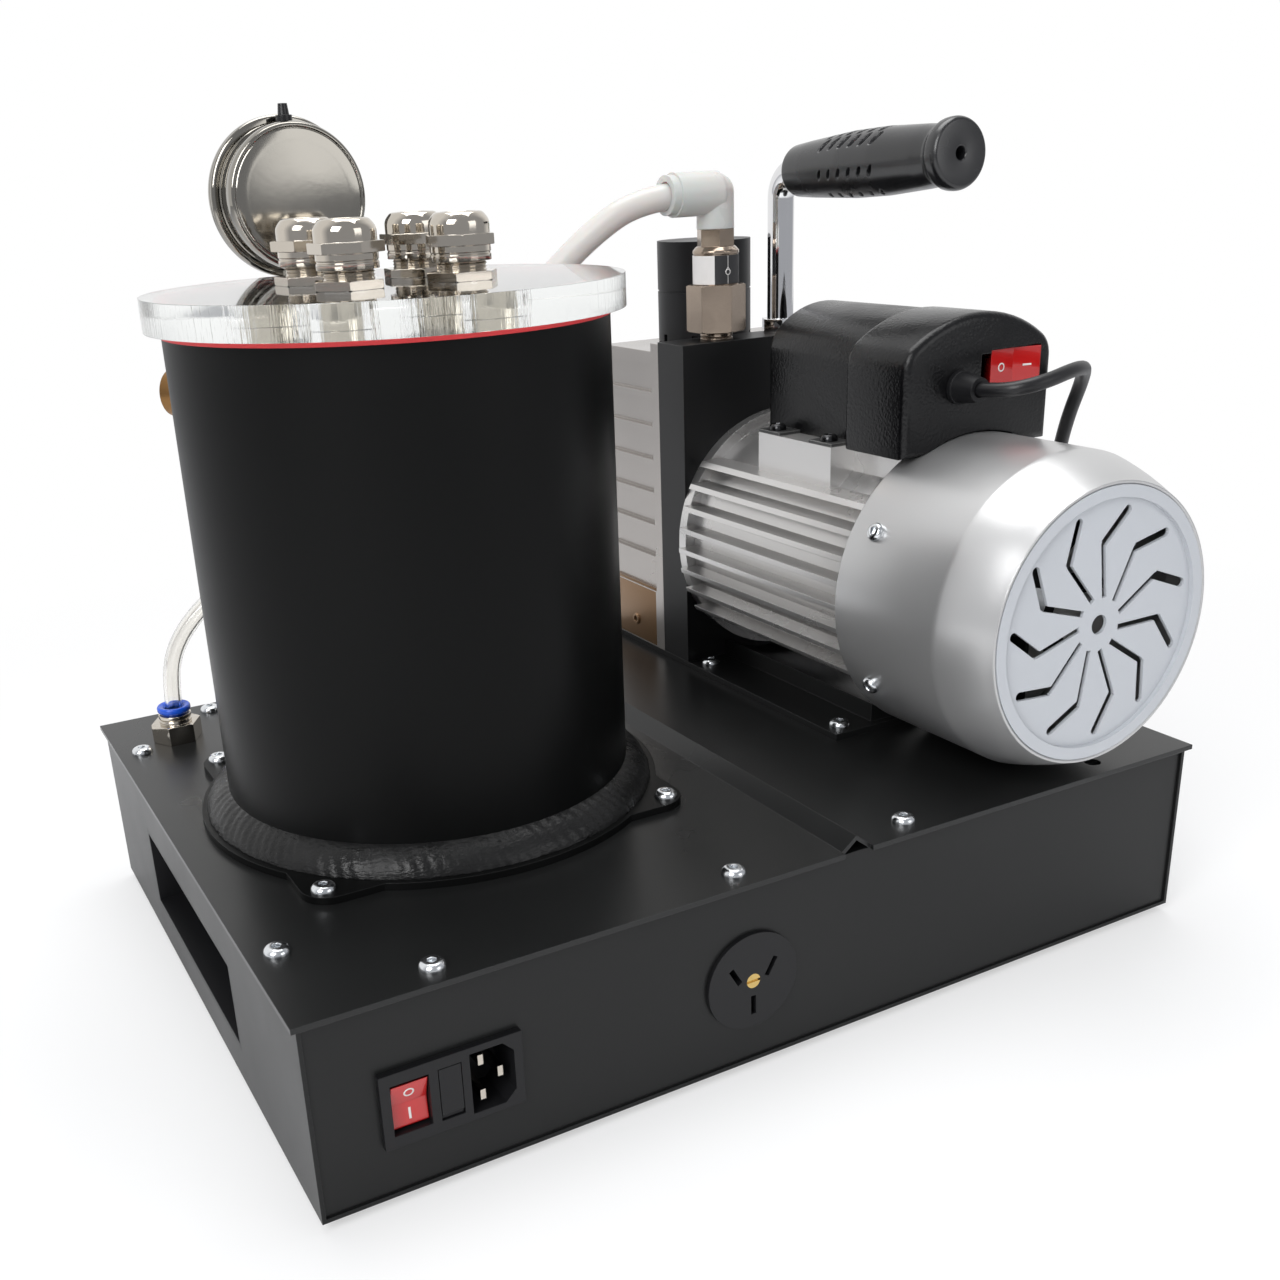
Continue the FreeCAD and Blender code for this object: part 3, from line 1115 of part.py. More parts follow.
def handle_grip():
    """Moulded grip, fuller in the middle, with an end flange towards the front."""
    long = s.grip_rear_y - s.grip_end_y
    neck = s.grip_neck_d / 2
    full = s.grip_d / 2
    edge = long - s.grip_flange
    body = turned([(as_size(0), as_size(0)), (neck - 2, as_size(0)), (neck, as_size(2)),
                   (full, long * 0.4), (full, long * 0.6), (neck + 0.5, edge - 3), (neck + 0.5, edge),
                   (s.grip_flange_d / 2, edge + 1), (s.grip_flange_d / 2, long - 2),
                   (s.grip_flange_d / 2 - 2, long), (as_size(0), long)], as_size(0), as_size(0), as_size(0))
    bore = rod(s.handle_d, edge, as_size(0), as_size(0), as_size(0))
    tip = rod(s.handle_d / 3, 2 * long, as_size(0), as_size(0), as_size(0))
    shaped = cut(body, bore, tip)
    lean = math.radians(s.grip_tilt.value)
    drop = (block_middle - s.grip_rear_y) * math.tan(lean)
    way = Rotation(Vector(0, 0, 1), Vector(0, -math.cos(lean), math.sin(lean)))
    return moved(shaped, s.handle_x, s.grip_rear_y, s.grip_rear_z + drop, way)


hex_low = s.block_top + s.valve_neck
body_low = hex_low + s.valve_hex
valve_top = body_low + s.valve_body + s.valve_shoulder + s.valve_top
seat_z = hex_low + s.valve_hex / 2


def check_valve():
    """Hexagon inlet body screwed into the pump block, with a round upper half."""
    x = s.valve_x
    y = block_middle
    neck = rod(s.valve_neck_d, s.valve_neck, x, y, s.block_top)
    base = hexagon(s.valve_hex_af, s.valve_hex, x, y, hex_low)
    body = rod(s.valve_d, s.valve_body, x, y, body_low)
    shoulder = cone(s.valve_d, s.valve_top_af, s.valve_shoulder, x, y, body_low + s.valve_body)
    top = hexagon(s.valve_top_af, s.valve_top, x, y, valve_top - s.valve_top)
    chamber = rod(s.valve_bore, valve_top - s.valve_top - seat_z, x, y, seat_z)
    bore = rod(s.seat_d, 2 * (valve_top - s.block_top), x, y, s.block_top - s.valve_neck)
    return cut(fuse(neck, base, body, shoulder, top), chamber, bore)


def valve_poppet():
    """Disc with a guide pin that lifts off its seat towards the hose."""
    x = s.valve_x
    y = block_middle
    disc = rod(s.poppet_d, s.poppet, x, y, seat_z)
    guide = rod(s.seat_d - 2, s.poppet, x, y, seat_z - s.poppet / 2)
    return fuse(disc, guide)


elbow_z = valve_top + s.elbow_rise - s.elbow_level_d / 2


def hose_elbow():
    """Moulded push-in elbow from the valve's top to the hose at its left."""
    x = s.valve_x
    y = block_middle
    upright = rod(s.elbow_d, elbow_z - valve_top, x, y, valve_top)
    corner = doc.addObject("Part::Sphere", "Corner")
    bind(corner, "Radius", s.elbow_d / 2)
    place(corner, x, y, elbow_z)
    level = rod(s.elbow_level_d, s.elbow_reach, x, y, elbow_z, "-x")
    collar = rod(s.elbow_d, s.elbow_ring, x - s.elbow_reach, y, elbow_z, "-x")
    bores = [rod(s.seat_d, elbow_z - valve_top, x, y, valve_top),
             rod(s.seat_d, s.elbow_reach, x, y, elbow_z, "-x"),
             rod(s.hose_d, s.elbow_ring + s.elbow_reach / 2, x - s.elbow_reach / 2, y, elbow_z, "-x")]
    return cut(fuse(upright, corner, level, collar), *bores)


def cable_grommet():
    """Rubber grommet where the pump's cable goes into the base's right side."""
    x = s.base_w
    y = s.grommet_y
    z = s.grommet_z
    inner = rod(s.grommet_d, s.sheet, x - s.sheet, y, z, "x")
    outer = cone(s.grommet_d + 4, s.grommet_d, s.grommet, x, y, z, "x")
    bore = rod(s.cable_d, 2 * s.grommet, x - s.grommet / 2, y, z, "x")
    return cut(fuse(inner, outer), bore)


# Routes of the free lines, each point set out from the fitting it is nearest to
hose_start = Vector(s.valve_x.value - s.elbow_reach.value / 2, block_middle.value, elbow_z.value)
hose_end = Vector(s.chamber_x.value + manifold_x.value + s.side_port.value / 2, stem_y.value,
                  s.port_z.value)


def between(start, end, share, lift):
    """A share of the way from start to end, level with start and then lifted."""
    way = (end - start) * share
    return start + Vector(way.x, way.y, lift)


HOSE_ROUTE = [hose_start, hose_start + Vector(-28.5, 0, 0), between(hose_start, hose_end, 0.32, -16.5),
              between(hose_start, hose_end, 0.5, -44.5), hose_end + Vector(46.5, 0, 0), hose_end]
tube_start = Vector(s.fitting_x.value, s.fitting_y.value, fitting_top.value - s.fitting_hex.value)
tube_end = Vector(s.chamber_x.value, stem_y.value,
                  s.port_z.value - s.manifold_tall.value / 2 - s.side_port.value / 2)
TUBE_ROUTE = [tube_start, tube_start + Vector(0, 0, 20), between(tube_start, tube_end, 0.05, 40.5),
              between(tube_start, tube_end, 0.23, 58.5), between(tube_start, tube_end, 0.5, 74),
              between(tube_start, tube_end, 0.8, 95), tube_end + Vector(0, 0, -28), tube_end]
cable_start = Vector(s.relief_x.value, s.box_front.value - 1, s.relief_z.value)
cable_end = Vector(s.base_w.value - s.sheet.value / 2, s.grommet_y.value, s.grommet_z.value)
CABLE_ROUTE = [cable_start] + [cable_start + Vector(*step) for step in (
    (0, -19.5, 0), (12, -31, 3), (37, -27.5, 7), (61, -9.5, 2), (68, 6.5, -24), (79, 20.5, -51))]
CABLE_ROUTE += [cable_end + Vector(*step) for step in (
    (20.75, -3, 82), (32.75, 0, 52), (35.75, 0, 24), (28.25, 0, 9), (13.75, 0, 0))] + [cable_end]
RADIUS_SHARE = 0.45


def line(name, route, diameter):
    """A flexible line: straight runs joined by arcs as large as the runs beside them allow."""
    edges = []
    radii = []
    start = route[0]
    for before, corner, after in zip(route, route[1:], route[2:]):
        way_in = (corner - before).normalize()
        way_out = (after - corner).normalize()
        half_turn = way_in.getAngle(way_out) / 2
        shorter = min((corner - before).Length, (after - corner).Length)
        lead = RADIUS_SHARE * shorter
        radius = lead / math.tan(half_turn)
        first = corner - way_in * lead
        second = corner + way_out * lead
        inward = (way_out - way_in).normalize()
        middle = corner + inward * (radius / math.cos(half_turn) - radius)
        edges.append(Part.LineSegment(start, first).toShape())
        edges.append(Part.Arc(first, middle, second).toShape())
        start = second
        radii.append(radius)
    edges.append(Part.LineSegment(start, route[-1]).toShape())
    path = Part.Wire(edges)
    section = Part.Wire(Part.makeCircle(diameter / 2, route[0], route[1] - route[0]))
    tube = path.makePipeShell([section], True, False)
    share = tube.Volume / (math.pi * diameter ** 2 / 4 * path.Length)
    print(name, "length", round(path.Length), "radii", [round(r) for r in radii], "volume", round(share, 4))
    feature = doc.addObject("Part::Feature", "Line")
    feature.Shape = tube
    return feature


def build():
    piece("base_shell", base_shell())
    piece("front_panel", front_panel())
    piece("top_plate", top_plate())
    piece("top_screws", *[button_screw(x, y, deck) for x, y in plate_screw_places()])
    piece("rubber_feet", *rubber_feet())
    piece("handle_cups", *handle_cups())
    piece("inlet_body", inlet_body())
    piece("inlet_pins", *inlet_pins())
    piece("inlet_rocker", rocker(s.rocker_x, s.inlet_z, s.rocker_w, s.rocker_tall,
                                 bezel_front + s.rocker_back, s.rocker_deep))
    piece("fuse_drawer", fuse_drawer())
    piece("fuses", *fuses())
    piece("outlet_body", outlet_body())
    piece("outlet_contacts", *outlet_contacts())
    piece("outlet_screw", outlet_screw())
    piece("chamber_body", chamber_body())
    piece("chamber_flange", chamber_flange())
    piece("flange_screws", *[button_screw(x, y, flange_top) for x, y in flange_screw_places()])
    piece("lid_gasket", ring(s.gasket_d, s.gasket_in, s.gasket, s.chamber_x, s.chamber_y, s.tube_top))
    piece("lid", lid())
    piece("gland_bodies", *[make(x, y) for make in (gland_body, gland_seal) for x, y in gland_places()])
    for number, (x, y) in enumerate(gland_places(), 1):
        piece(f"gland_nut_{number}", gland_nut(x, y))
    piece("gauge_case", gauge_case())
    piece("gauge_bezel", gauge_bezel())
    piece("gauge_lens", gauge_lens())
    piece("gauge_dial", gauge_dial())
    piece("gauge_pointer", gauge_pointer())
    piece("gauge_plug", gauge_plug())
    piece("manifold", manifold())
    piece("vent_knob", vent_knob())
    piece("tube_fitting", tube_fitting())
    piece("tube_collar", tube_collar())
    piece("pump_foot", pump_foot())
    piece("foot_screws", *foot_screws())
    piece("pump_block", pump_block())
    piece("oil_tank", oil_tank())
    piece("exhaust_cap", exhaust_cap())
    piece("motor_shell", motor_shell())
    piece("stator_core", stator_core())
    piece("motor_rotor", motor_rotor())
    piece("cooling_fan", cooling_fan())
    piece("fan_cover", fan_cover())
    piece("fan_grille", fan_grille())
    piece("cover_screws", *cover_screws())
    piece("terminal_box", terminal_box())
    piece("box_tabs", *box_tabs())
    piece("tab_screws", *[button_screw(x, y, s.box_low + s.tab, head_d=s.tab_screw_d,
                                       length=s.screw_deep)
                          for x, y in tab_screw_places()])
    piece("pump_rocker", pump_rocker())
    piece("strain_relief", strain_relief())
    piece("handle_tube", *handle_tube())
    piece("handle_grip", handle_grip())
    piece("check_valve", check_valve())
    piece("valve_poppet", valve_poppet())
    piece("hose_elbow", hose_elbow())
    piece("cable_grommet", cable_grommet())
    piece("vacuum_hose", line("vacuum_hose", HOSE_ROUTE, s.hose_d.value))
    piece("clear_tube", line("clear_tube", TUBE_ROUTE, s.clear_tube_d.value))
    piece("pump_cable", line("pump_cable", CABLE_ROUTE, s.cable_d.value))


def write():
    doc.recompute()
    for obj in doc.Objects:
        if "Invalid" in obj.State or "Error" in obj.State:
            raise RuntimeError(f"{obj.Label} {obj.TypeId} did not recompute: {obj.State}")
    for name, group in PIECES.items():
        if group.Shape.isNull() or not group.Shape.isValid() or not group.Shape.Solids:
            raise RuntimeError(f"{name} has no valid solid")
    for name, group in PIECES.items():
        group.Shape.exportStep(f"parts/{name}.step")
    print(len(PIECES), "pieces,", sum(len(group.Shape.Solids) for group in PIECES.values()), "solids")


build()
write()
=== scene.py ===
import json
from math import asin, cos, degrees, hypot, radians, sin, tau

import bmesh
import bpy
from bpy.props import FloatProperty, FloatVectorProperty, IntProperty, PointerProperty
from mathutils import Matrix, Vector

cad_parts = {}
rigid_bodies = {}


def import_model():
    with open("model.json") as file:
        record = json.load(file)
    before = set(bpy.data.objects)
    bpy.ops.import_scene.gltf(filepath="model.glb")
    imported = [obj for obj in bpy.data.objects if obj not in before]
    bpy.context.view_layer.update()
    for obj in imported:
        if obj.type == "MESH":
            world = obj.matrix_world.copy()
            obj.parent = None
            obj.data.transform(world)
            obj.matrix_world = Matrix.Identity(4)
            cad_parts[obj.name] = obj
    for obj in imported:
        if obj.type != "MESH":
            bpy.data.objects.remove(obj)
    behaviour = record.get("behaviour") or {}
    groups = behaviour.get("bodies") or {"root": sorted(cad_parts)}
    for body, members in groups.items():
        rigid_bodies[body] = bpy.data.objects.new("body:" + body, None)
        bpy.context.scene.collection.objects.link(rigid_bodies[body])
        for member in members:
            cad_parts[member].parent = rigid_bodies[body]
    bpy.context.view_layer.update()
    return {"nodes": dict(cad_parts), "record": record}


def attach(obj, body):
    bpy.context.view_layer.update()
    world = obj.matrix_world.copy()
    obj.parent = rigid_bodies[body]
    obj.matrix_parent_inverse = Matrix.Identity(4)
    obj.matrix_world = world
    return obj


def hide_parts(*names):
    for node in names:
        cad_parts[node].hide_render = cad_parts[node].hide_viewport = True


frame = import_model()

bl_info = {
    "name": "Vacuum casting machine",
    "version": (1, 0, 0),
    "blender": (4, 5, 0),
    "location": "3D View > Sidebar > Vacuum casting",
    "description": "Dresses the frame of a bench vacuum casting machine with finishes and detailed pieces",
    "category": "Object",
}

NODES = frame["nodes"]
MM = 0.001
TO_METRES = Matrix.Scale(MM, 4)
# The base's front left bottom corner; lengths in this file are measured from it unless they say otherwise
CORNER = Vector((-0.202, -0.15125, 0.004))
SOFT_ANGLE = radians(32)
# A ring of a smaller radius than this, in millimetres, is a pole
POLE = 1e-6

FACE_UP = Matrix.Identity(4)
FACE_BACK = Matrix.Rotation(radians(-90), 4, "X")
FACE_FRONT = Matrix.Rotation(radians(90), 4, "X")
FACE_LEFT = Matrix.Rotation(radians(-90), 4, "Y")


def spot(x, y, z):
    """A place measured in millimetres from the base's corner."""
    return CORNER + Vector((x, y, z)) * MM


def seat(x, y, z, facing=FACE_UP, spin=0):
    """Moves a shape made in millimetres to its place, turned by spin degrees about its own axis."""
    turn = Matrix.Rotation(radians(spin), 4, "Z")
    return Matrix.Translation(spot(x, y, z)) @ facing @ turn @ TO_METRES


# Shader groups

EDGE_GAIN = 9.0
MOTTLE_SPAN = (0.3, 0.7)
SMOOTHEST = 0.02
UPRIGHT_BELOW = 0.5


def new_group(name, inputs, outputs):
    tree = bpy.data.node_groups.new(name, "ShaderNodeTree")
    for label, kind, default in inputs:
        socket = tree.interface.new_socket(label, in_out="INPUT", socket_type=f"NodeSocket{kind}")
        socket.default_value = default
    for label, kind in outputs:
        tree.interface.new_socket(label, in_out="OUTPUT", socket_type=f"NodeSocket{kind}")
    return tree, tree.nodes.new("NodeGroupInput").outputs, tree.nodes.new("NodeGroupOutput").inputs


def feed(tree, socket, value):
    """Links a socket to another node's output, or sets it to a plain value."""
    if isinstance(value, bpy.types.NodeSocket):
        tree.links.new(value, socket)
    else:
        socket.default_value = value


def add_node(tree, kind, inputs=None, **settings):
    """A node with its settings made, and its inputs, by name or number, fed."""
    node = tree.nodes.new(kind)
    for name, value in settings.items():
        setattr(node, name, value)
    for name, value in (inputs or {}).items():
        feed(tree, node.inputs[name], value)
    return node


def math_node(tree, operation, first, second=None, clamp=False):
    inputs = {0: first} if second is None else {0: first, 1: second}
    return add_node(tree, "ShaderNodeMath", inputs, operation=operation, use_clamp=clamp).outputs[0]


def ramp(tree, value, start, end, low, high):
    """Goes from low to high while value goes from start to end."""
    return add_node(tree, "ShaderNodeMapRange", {
        "Value": value, "From Min": start, "From Max": end, "To Min": low, "To Max": high}).outputs["Result"]


def surface_group():
    """Fine grain, broad mottling, an edge mask and edge-rounding normals for one surface."""
    tree, source, sink = new_group(
        "surface_detail",
        [("Grain Scale", "Float", 900.0), ("Mottle Scale", "Float", 12.0),
         ("Stretch", "Vector", (1.0, 1.0, 1.0)), ("Edge Radius", "Float", 0.0005)],
        [("Grain", "Float"), ("Mottle", "Float"), ("Edge", "Float"), ("Normal", "Vector")])
    place = add_node(tree, "ShaderNodeTexCoord").outputs["Object"]
    stretched = add_node(tree, "ShaderNodeVectorMath", {0: place, 1: source["Stretch"]}, operation="MULTIPLY")
    grain = add_node(tree, "ShaderNodeTexNoise", {
        "Vector": stretched.outputs[0], "Scale": source["Grain Scale"], "Detail": 3}).outputs["Fac"]
    mottle = add_node(tree, "ShaderNodeTexNoise", {
        "Vector": place, "Scale": source["Mottle Scale"], "Detail": 4}).outputs["Fac"]
    rounded = add_node(tree, "ShaderNodeBevel", {"Radius": source["Edge Radius"]}, samples=4).outputs[0]
    flat = add_node(tree, "ShaderNodeNewGeometry").outputs["Normal"]
    facing = add_node(tree, "ShaderNodeVectorMath", {0: rounded, 1: flat}, operation="DOT_PRODUCT")
    away = math_node(tree, "SUBTRACT", 1.0, facing.outputs["Value"])
    broken = math_node(tree, "MULTIPLY", away, mottle)
    edge = math_node(tree, "MULTIPLY", broken, EDGE_GAIN, clamp=True)
    for label, value in (("Grain", grain), ("Mottle", mottle), ("Edge", edge), ("Normal", rounded)):
        feed(tree, sink[label], value)
    return tree


def pebble_group():
    """Moulded leather grain: rounded cells of uneven size."""
    tree, source, sink = new_group("pebble_grain", [("Scale", "Float", 700.0)], [("Height", "Float")])
    place = add_node(tree, "ShaderNodeTexCoord").outputs["Object"]
    cells = add_node(tree, "ShaderNodeTexVoronoi", {"Vector": place, "Scale": source["Scale"]},
                     feature="SMOOTH_F1")
    feed(tree, sink["Height"], cells.outputs["Distance"])
    return tree


def blend_colour(tree, factor, first, second):
    node = add_node(tree, "ShaderNodeMix", {"Factor": factor}, data_type="RGBA")
    for name, value in (("A", first), ("B", second)):
        socket = [s for s in node.inputs if s.name == name and s.type == "RGBA"][0]
        feed(tree, socket, (*value, 1) if isinstance(value, tuple) else value)
    return [s for s in node.outputs if s.type == "RGBA"][0]


def scaled(colour, share):
    return tuple(min(1.0, channel * share) for channel in colour)


def finish(name, colour, rough, metal, grain, depth, mottle, shade, rough_shade, edge,
           worn=None, wear=0.0, stretch=(1, 1, 1), pebble=0, turned_rim=False, **constants):
    """A material with grain, mottled colour and gloss, rounded edges and, where worn, bright edges.

    With turned_rim the grain stays on upright walls, as a cutter leaves it round the edge of a sheet.
    """
    material = bpy.data.materials.new(name)
    material.use_nodes = True
    tree = material.node_tree
    detail = add_node(tree, "ShaderNodeGroup", node_tree=SURFACE)
    for label, value in (("Grain Scale", grain), ("Mottle Scale", mottle), ("Stretch", stretch),
                         ("Edge Radius", edge)):
        feed(tree, detail.inputs[label], value)
    detail = detail.outputs
    paint = blend_colour(tree, detail["Mottle"], scaled(colour, 1 - shade), scaled(colour, 1 + shade))
    if worn:
        amount = math_node(tree, "MULTIPLY", detail["Edge"], wear, clamp=True)
        paint = blend_colour(tree, amount, paint, worn)
    gloss = ramp(tree, detail["Mottle"], *MOTTLE_SPAN, max(SMOOTHEST, rough - rough_shade),
                 rough + rough_shade)
    height = detail["Grain"]
    if pebble:
        height = add_node(tree, "ShaderNodeGroup", {"Scale": pebble}, node_tree=PEBBLE).outputs["Height"]
    if turned_rim:
        normal = add_node(tree, "ShaderNodeNewGeometry").outputs["True Normal"]
        upward = add_node(tree, "ShaderNodeSeparateXYZ", {0: normal}).outputs["Z"]
        wall = math_node(tree, "LESS_THAN", math_node(tree, "ABSOLUTE", upward), UPRIGHT_BELOW)
        height = math_node(tree, "MULTIPLY", height, wall)
    bump = add_node(tree, "ShaderNodeBump", {
        "Distance": depth, "Strength": 1.0, "Height": height, "Normal": detail["Normal"]})
    shader = tree.nodes["Principled BSDF"].inputs
    for label, value in (("Base Color", paint), ("Roughness", gloss), ("Metallic", metal),
                         ("Normal", bump.outputs["Normal"]), *constants.items()):
        feed(tree, shader[label.replace("_", " ")], value)
    return material


SURFACE = surface_group()
PEBBLE = pebble_group()
BLACK = (0.0085, 0.0088, 0.0088)
FINISHES = {}


def finish_rows(black, silver, red):
    rubber = (0.008, 0.008, 0.009)
    coat = {"worn": (0.05, 0.05, 0.052), "wear": 0.5}
    clear = {"Transmission_Weight": 1.0}
    return (
        ("black_paint", "black_powder_coat", black, 0.36, 0, 1500, 3e-5, 9, 0.2, 0.06, 5e-4,
         {**coat, "Specular_IOR_Level": 0.26}),
        ("chamber_black", "chamber_satin_black", scaled(black, 0.45), 0.36, 0, 2600, 1.2e-5, 7, 0.25, 0.06,
         5e-4, {"worn": (0.04, 0.04, 0.04), "wear": 0.4, "Specular_IOR_Level": 0.1}),
        ("weld", "brushed_weld", (0.01, 0.01, 0.01), 0.3, 0, 420, 3e-4, 60, 0.4, 0.12, 5e-4,
         {"stretch": (1, 1, 3), "Specular_IOR_Level": 0.25}),
        ("steel", "zinc_plated_steel", (0.72, 0.74, 0.76), 0.2, 1, 1800, 1e-5, 160, 0.1, 0.06, 2e-4, {}),
        ("black_screw", "blackened_screw", (0.05, 0.05, 0.052), 0.22, 0.9, 1800, 1e-5, 160, 0.2, 0.06,
         2e-4, {}),
        ("nickel", "polished_nickel", (0.56, 0.515, 0.45), 0.09, 1, 600, 4e-6, 40, 0.08, 0.04, 3e-4, {}),
        ("valve_nickel", "warm_nickel", (0.36, 0.29, 0.23), 0.16, 0.85, 600, 6e-6, 60, 0.15, 0.06, 3e-4, {}),
        ("gauge_shell", "mirror_stainless", (0.3, 0.285, 0.255), 0.07, 1, 300, 4e-6, 30, 0.05, 0.03,
         3e-4, {}),
        ("chrome", "bright_chrome", (0.75, 0.75, 0.76), 0.05, 1, 400, 4e-6, 25, 0.04, 0.02, 3e-4, {}),
        ("aluminium", "extruded_aluminium", silver, 0.3, 0.85, 900, 6e-6, 14, 0.08, 0.06, 3e-4,
         {"stretch": (1, 0.01, 1)}),
        ("deck_paint", "smooth_deck_coat", black, 0.3, 0, 1500, 2e-5, 9, 0.2, 0.06, 5e-4,
         {**coat, "Specular_IOR_Level": 0.38}),
        # The vent knob's dark brown is a painted warm reflection, not an aged colour of the part
        ("aged_brass", "aged_brass", (0.24, 0.13, 0.05), 0.3, 1, 900, 1e-5, 60, 0.25, 0.06, 3e-4, {}),
        ("cover_silver", "silver_paint", (0.54, 0.54, 0.54), 0.33, 0.7, 2200, 2e-5, 10, 0.06, 0.06, 8e-4, {}),
        ("acrylic", "clear_acrylic", (0.93, 0.945, 0.935), 0.03, 0, 700, 1.2e-4, 30, 0.02, 0.015, 4e-4,
         {"stretch": (1, 1, 0.06), "turned_rim": True, **clear, "IOR": 1.49}),
        ("lens_glass", "gauge_glass", (0.98, 0.99, 0.99), 0.03, 0, 200, 2e-6, 20, 0.01, 0.01, 5e-4,
         {**clear, "IOR": 1.5}),
        ("clear_plastic", "clear_tubing", (0.93, 0.915, 0.88), 0.03, 0, 300, 5e-7, 60, 0.02, 0.02, 5e-4,
         {**clear, "IOR": 1.52}),
        ("red_gasket", "red_silicone", (0.62, 0.03, 0.035), 0.5, 0, 1200, 2e-5, 20, 0.12, 0.06, 5e-4, {}),
        ("rubber", "black_rubber", rubber, 0.34, 0, 1600, 2e-5, 24, 0.25, 0.1, 6e-4,
         {"Specular_IOR_Level": 0.4}),
        ("grip_rubber", "moulded_grip", rubber, 0.24, 0, 1300, 1e-5, 30, 0.2, 0.08, 6e-4,
         {"Specular_IOR_Level": 0.7}),
        ("black_plastic", "black_moulding", rubber, 0.4, 0, 1400, 2e-5, 18, 0.2, 0.06, 5e-4,
         {"Specular_IOR_Level": 0.28}),
        ("box_plastic", "grained_black_moulding", (0.003, 0.003, 0.0035), 0.28, 0, 900, 1e-4, 25, 0.3, 0.08,
         8e-4, {"pebble": 800, "Specular_IOR_Level": 0.32}),
        ("red_rocker", "red_switch_cap", red, 0.18, 0, 900, 5e-6, 30, 0.1, 0.06, 6e-4, {"Coat_Weight": 0.5}),
        ("blue_plastic", "blue_release_collar", (0.01, 0.09, 0.62), 0.25, 0, 900, 1e-5, 40, 0.12, 0.06,
         4e-4, {}),
        ("milky_plastic", "milky_push_in_plastic", (0.6, 0.585, 0.56), 0.3, 0, 800, 1e-5, 30, 0.05, 0.06,
         6e-4, {"Subsurface_Weight": 0.15}),
        ("white_plastic", "white_grille", (0.5, 0.52, 0.55), 0.34, 0, 1500, 1e-5, 12, 0.05, 0.06, 4e-4, {}),
        ("dial_white", "dial_enamel", (0.86, 0.86, 0.84), 0.45, 0, 700, 4e-6, 25, 0.03, 0.06, 5e-4, {}),
        ("ink", "printed_ink", (0.02, 0.02, 0.022), 0.5, 0, 900, 2e-6, 40, 0.12, 0.06, 5e-4, {}),
        ("mark", "white_mark", (0.8, 0.78, 0.76), 0.4, 0, 900, 2e-6, 40, 0.05, 0.06, 5e-4, {}),
        ("brass", "dull_brass", (0.62, 0.44, 0.16), 0.25, 1, 900, 1e-5, 60, 0.15, 0.06, 2e-4, {}),
        # The sump's tan is painted shade and a painted brown reflection of the tank's lower part, not the
        # block's own colour
        ("sump_tan", "cast_sump", (0.34, 0.2, 0.1), 0.4, 0.4, 800, 4e-5, 20, 0.2, 0.06, 5e-4, {}),
        ("copper", "wound_copper", (0.55, 0.25, 0.11), 0.4, 0.8, 500, 1e-4, 30, 0.12, 0.06, 5e-4,
         {"stretch": (1, 0.1, 1)}),
        ("cast_iron", "black_machined_block", (0.01, 0.01, 0.0105), 0.42, 0, 1200, 3e-5, 14, 0.2, 0.06, 5e-4,
         {"worn": (0.3, 0.3, 0.3), "wear": 0.35, "Specular_IOR_Level": 0.3}),
        # The tank's warm tint is a painted warm reflection, standing in for the brownish reflections between
        # its ribs
        ("tank_aluminium", "ribbed_tank_casting", (0.42, 0.395, 0.375), 0.26, 0.9, 700, 2e-5, 14, 0.1, 0.06,
         6e-4, {"stretch": (0.05, 1, 1)}),
        ("worn_tab", "worn_tab_plate", (0.06, 0.06, 0.06), 0.36, 0.5, 500, 3e-5, 90, 0.7, 0.12, 6e-4,
         {"worn": (0.5, 0.5, 0.48), "wear": 0.8}))


def make_finishes():
    look = bpy.context.scene.casting_finishes
    for key, *values, extra in finish_rows(tuple(look.paint), tuple(look.aluminium), tuple(look.rocker)):
        FINISHES[key] = finish(*values, **extra)


# Which finish each carried-over node gets, where it differs from its record slot
NODE_FINISH = {
    "handle_tube": "chrome", "gauge_case": "gauge_shell", "gauge_bezel": "gauge_shell",
    "handle_grip": "grip_rubber", "fan_cover": "cover_silver", "pump_block": "cast_iron",
    # The oil tank's finish carries a painted warm reflection in its tint
    "pump_foot": "black_paint", "oil_tank": "tank_aluminium", "box_tabs": "worn_tab",
    # The vent knob's brown finish is a painted warm reflection
    "vent_knob": "aged_brass", "top_plate": "deck_paint",
}


def dress_node(name, finish_name):
    mesh = NODES[name].data
    mesh.materials.clear()
    mesh.materials.append(FINISHES[finish_name])


# Shape helpers, in millimetres

def round_point(radius, angle, height):
    return (radius * cos(angle), radius * sin(angle), height)


def skin(rings, wrapped=False, capped=False):
    """A closed shape over rings of points. A ring of one point is a pole."""
    bm = bmesh.new()
    grid = [[bm.verts.new(point) for point in ring] for ring in rings]
    pairs = list(zip(grid, grid[1:]))
    if wrapped:
        pairs.append((grid[-1], grid[0]))
    for low, high in pairs:
        steps = max(len(low), len(high))
        for step in range(steps):
            following = (step + 1) % steps
            corners = dict.fromkeys((low[step % len(low)], low[following % len(low)],
                                     high[following % len(high)], high[step % len(high)]))
            if len(corners) > 2:
                bm.faces.new(list(corners))
    if capped:
        bm.faces.new(grid[0])
        bm.faces.new(grid[-1])
    bmesh.ops.recalc_face_normals(bm, faces=bm.faces)
    return bm


def shell(rows, steps, wrapped=False):
    """A shape round the z axis. A row holds one (radius, height), or one for every step."""
    rings = []
    for row in rows:
        around = row if isinstance(row, list) else [row] * steps
        if max(radius for radius, height in around) < POLE:
            rings.append([(0, 0, around[0][1])])
        else:
            rings.append([round_point(radius, tau * step / steps, height)
                          for step, (radius, height) in enumerate(around)])
    return skin(rings, wrapped)


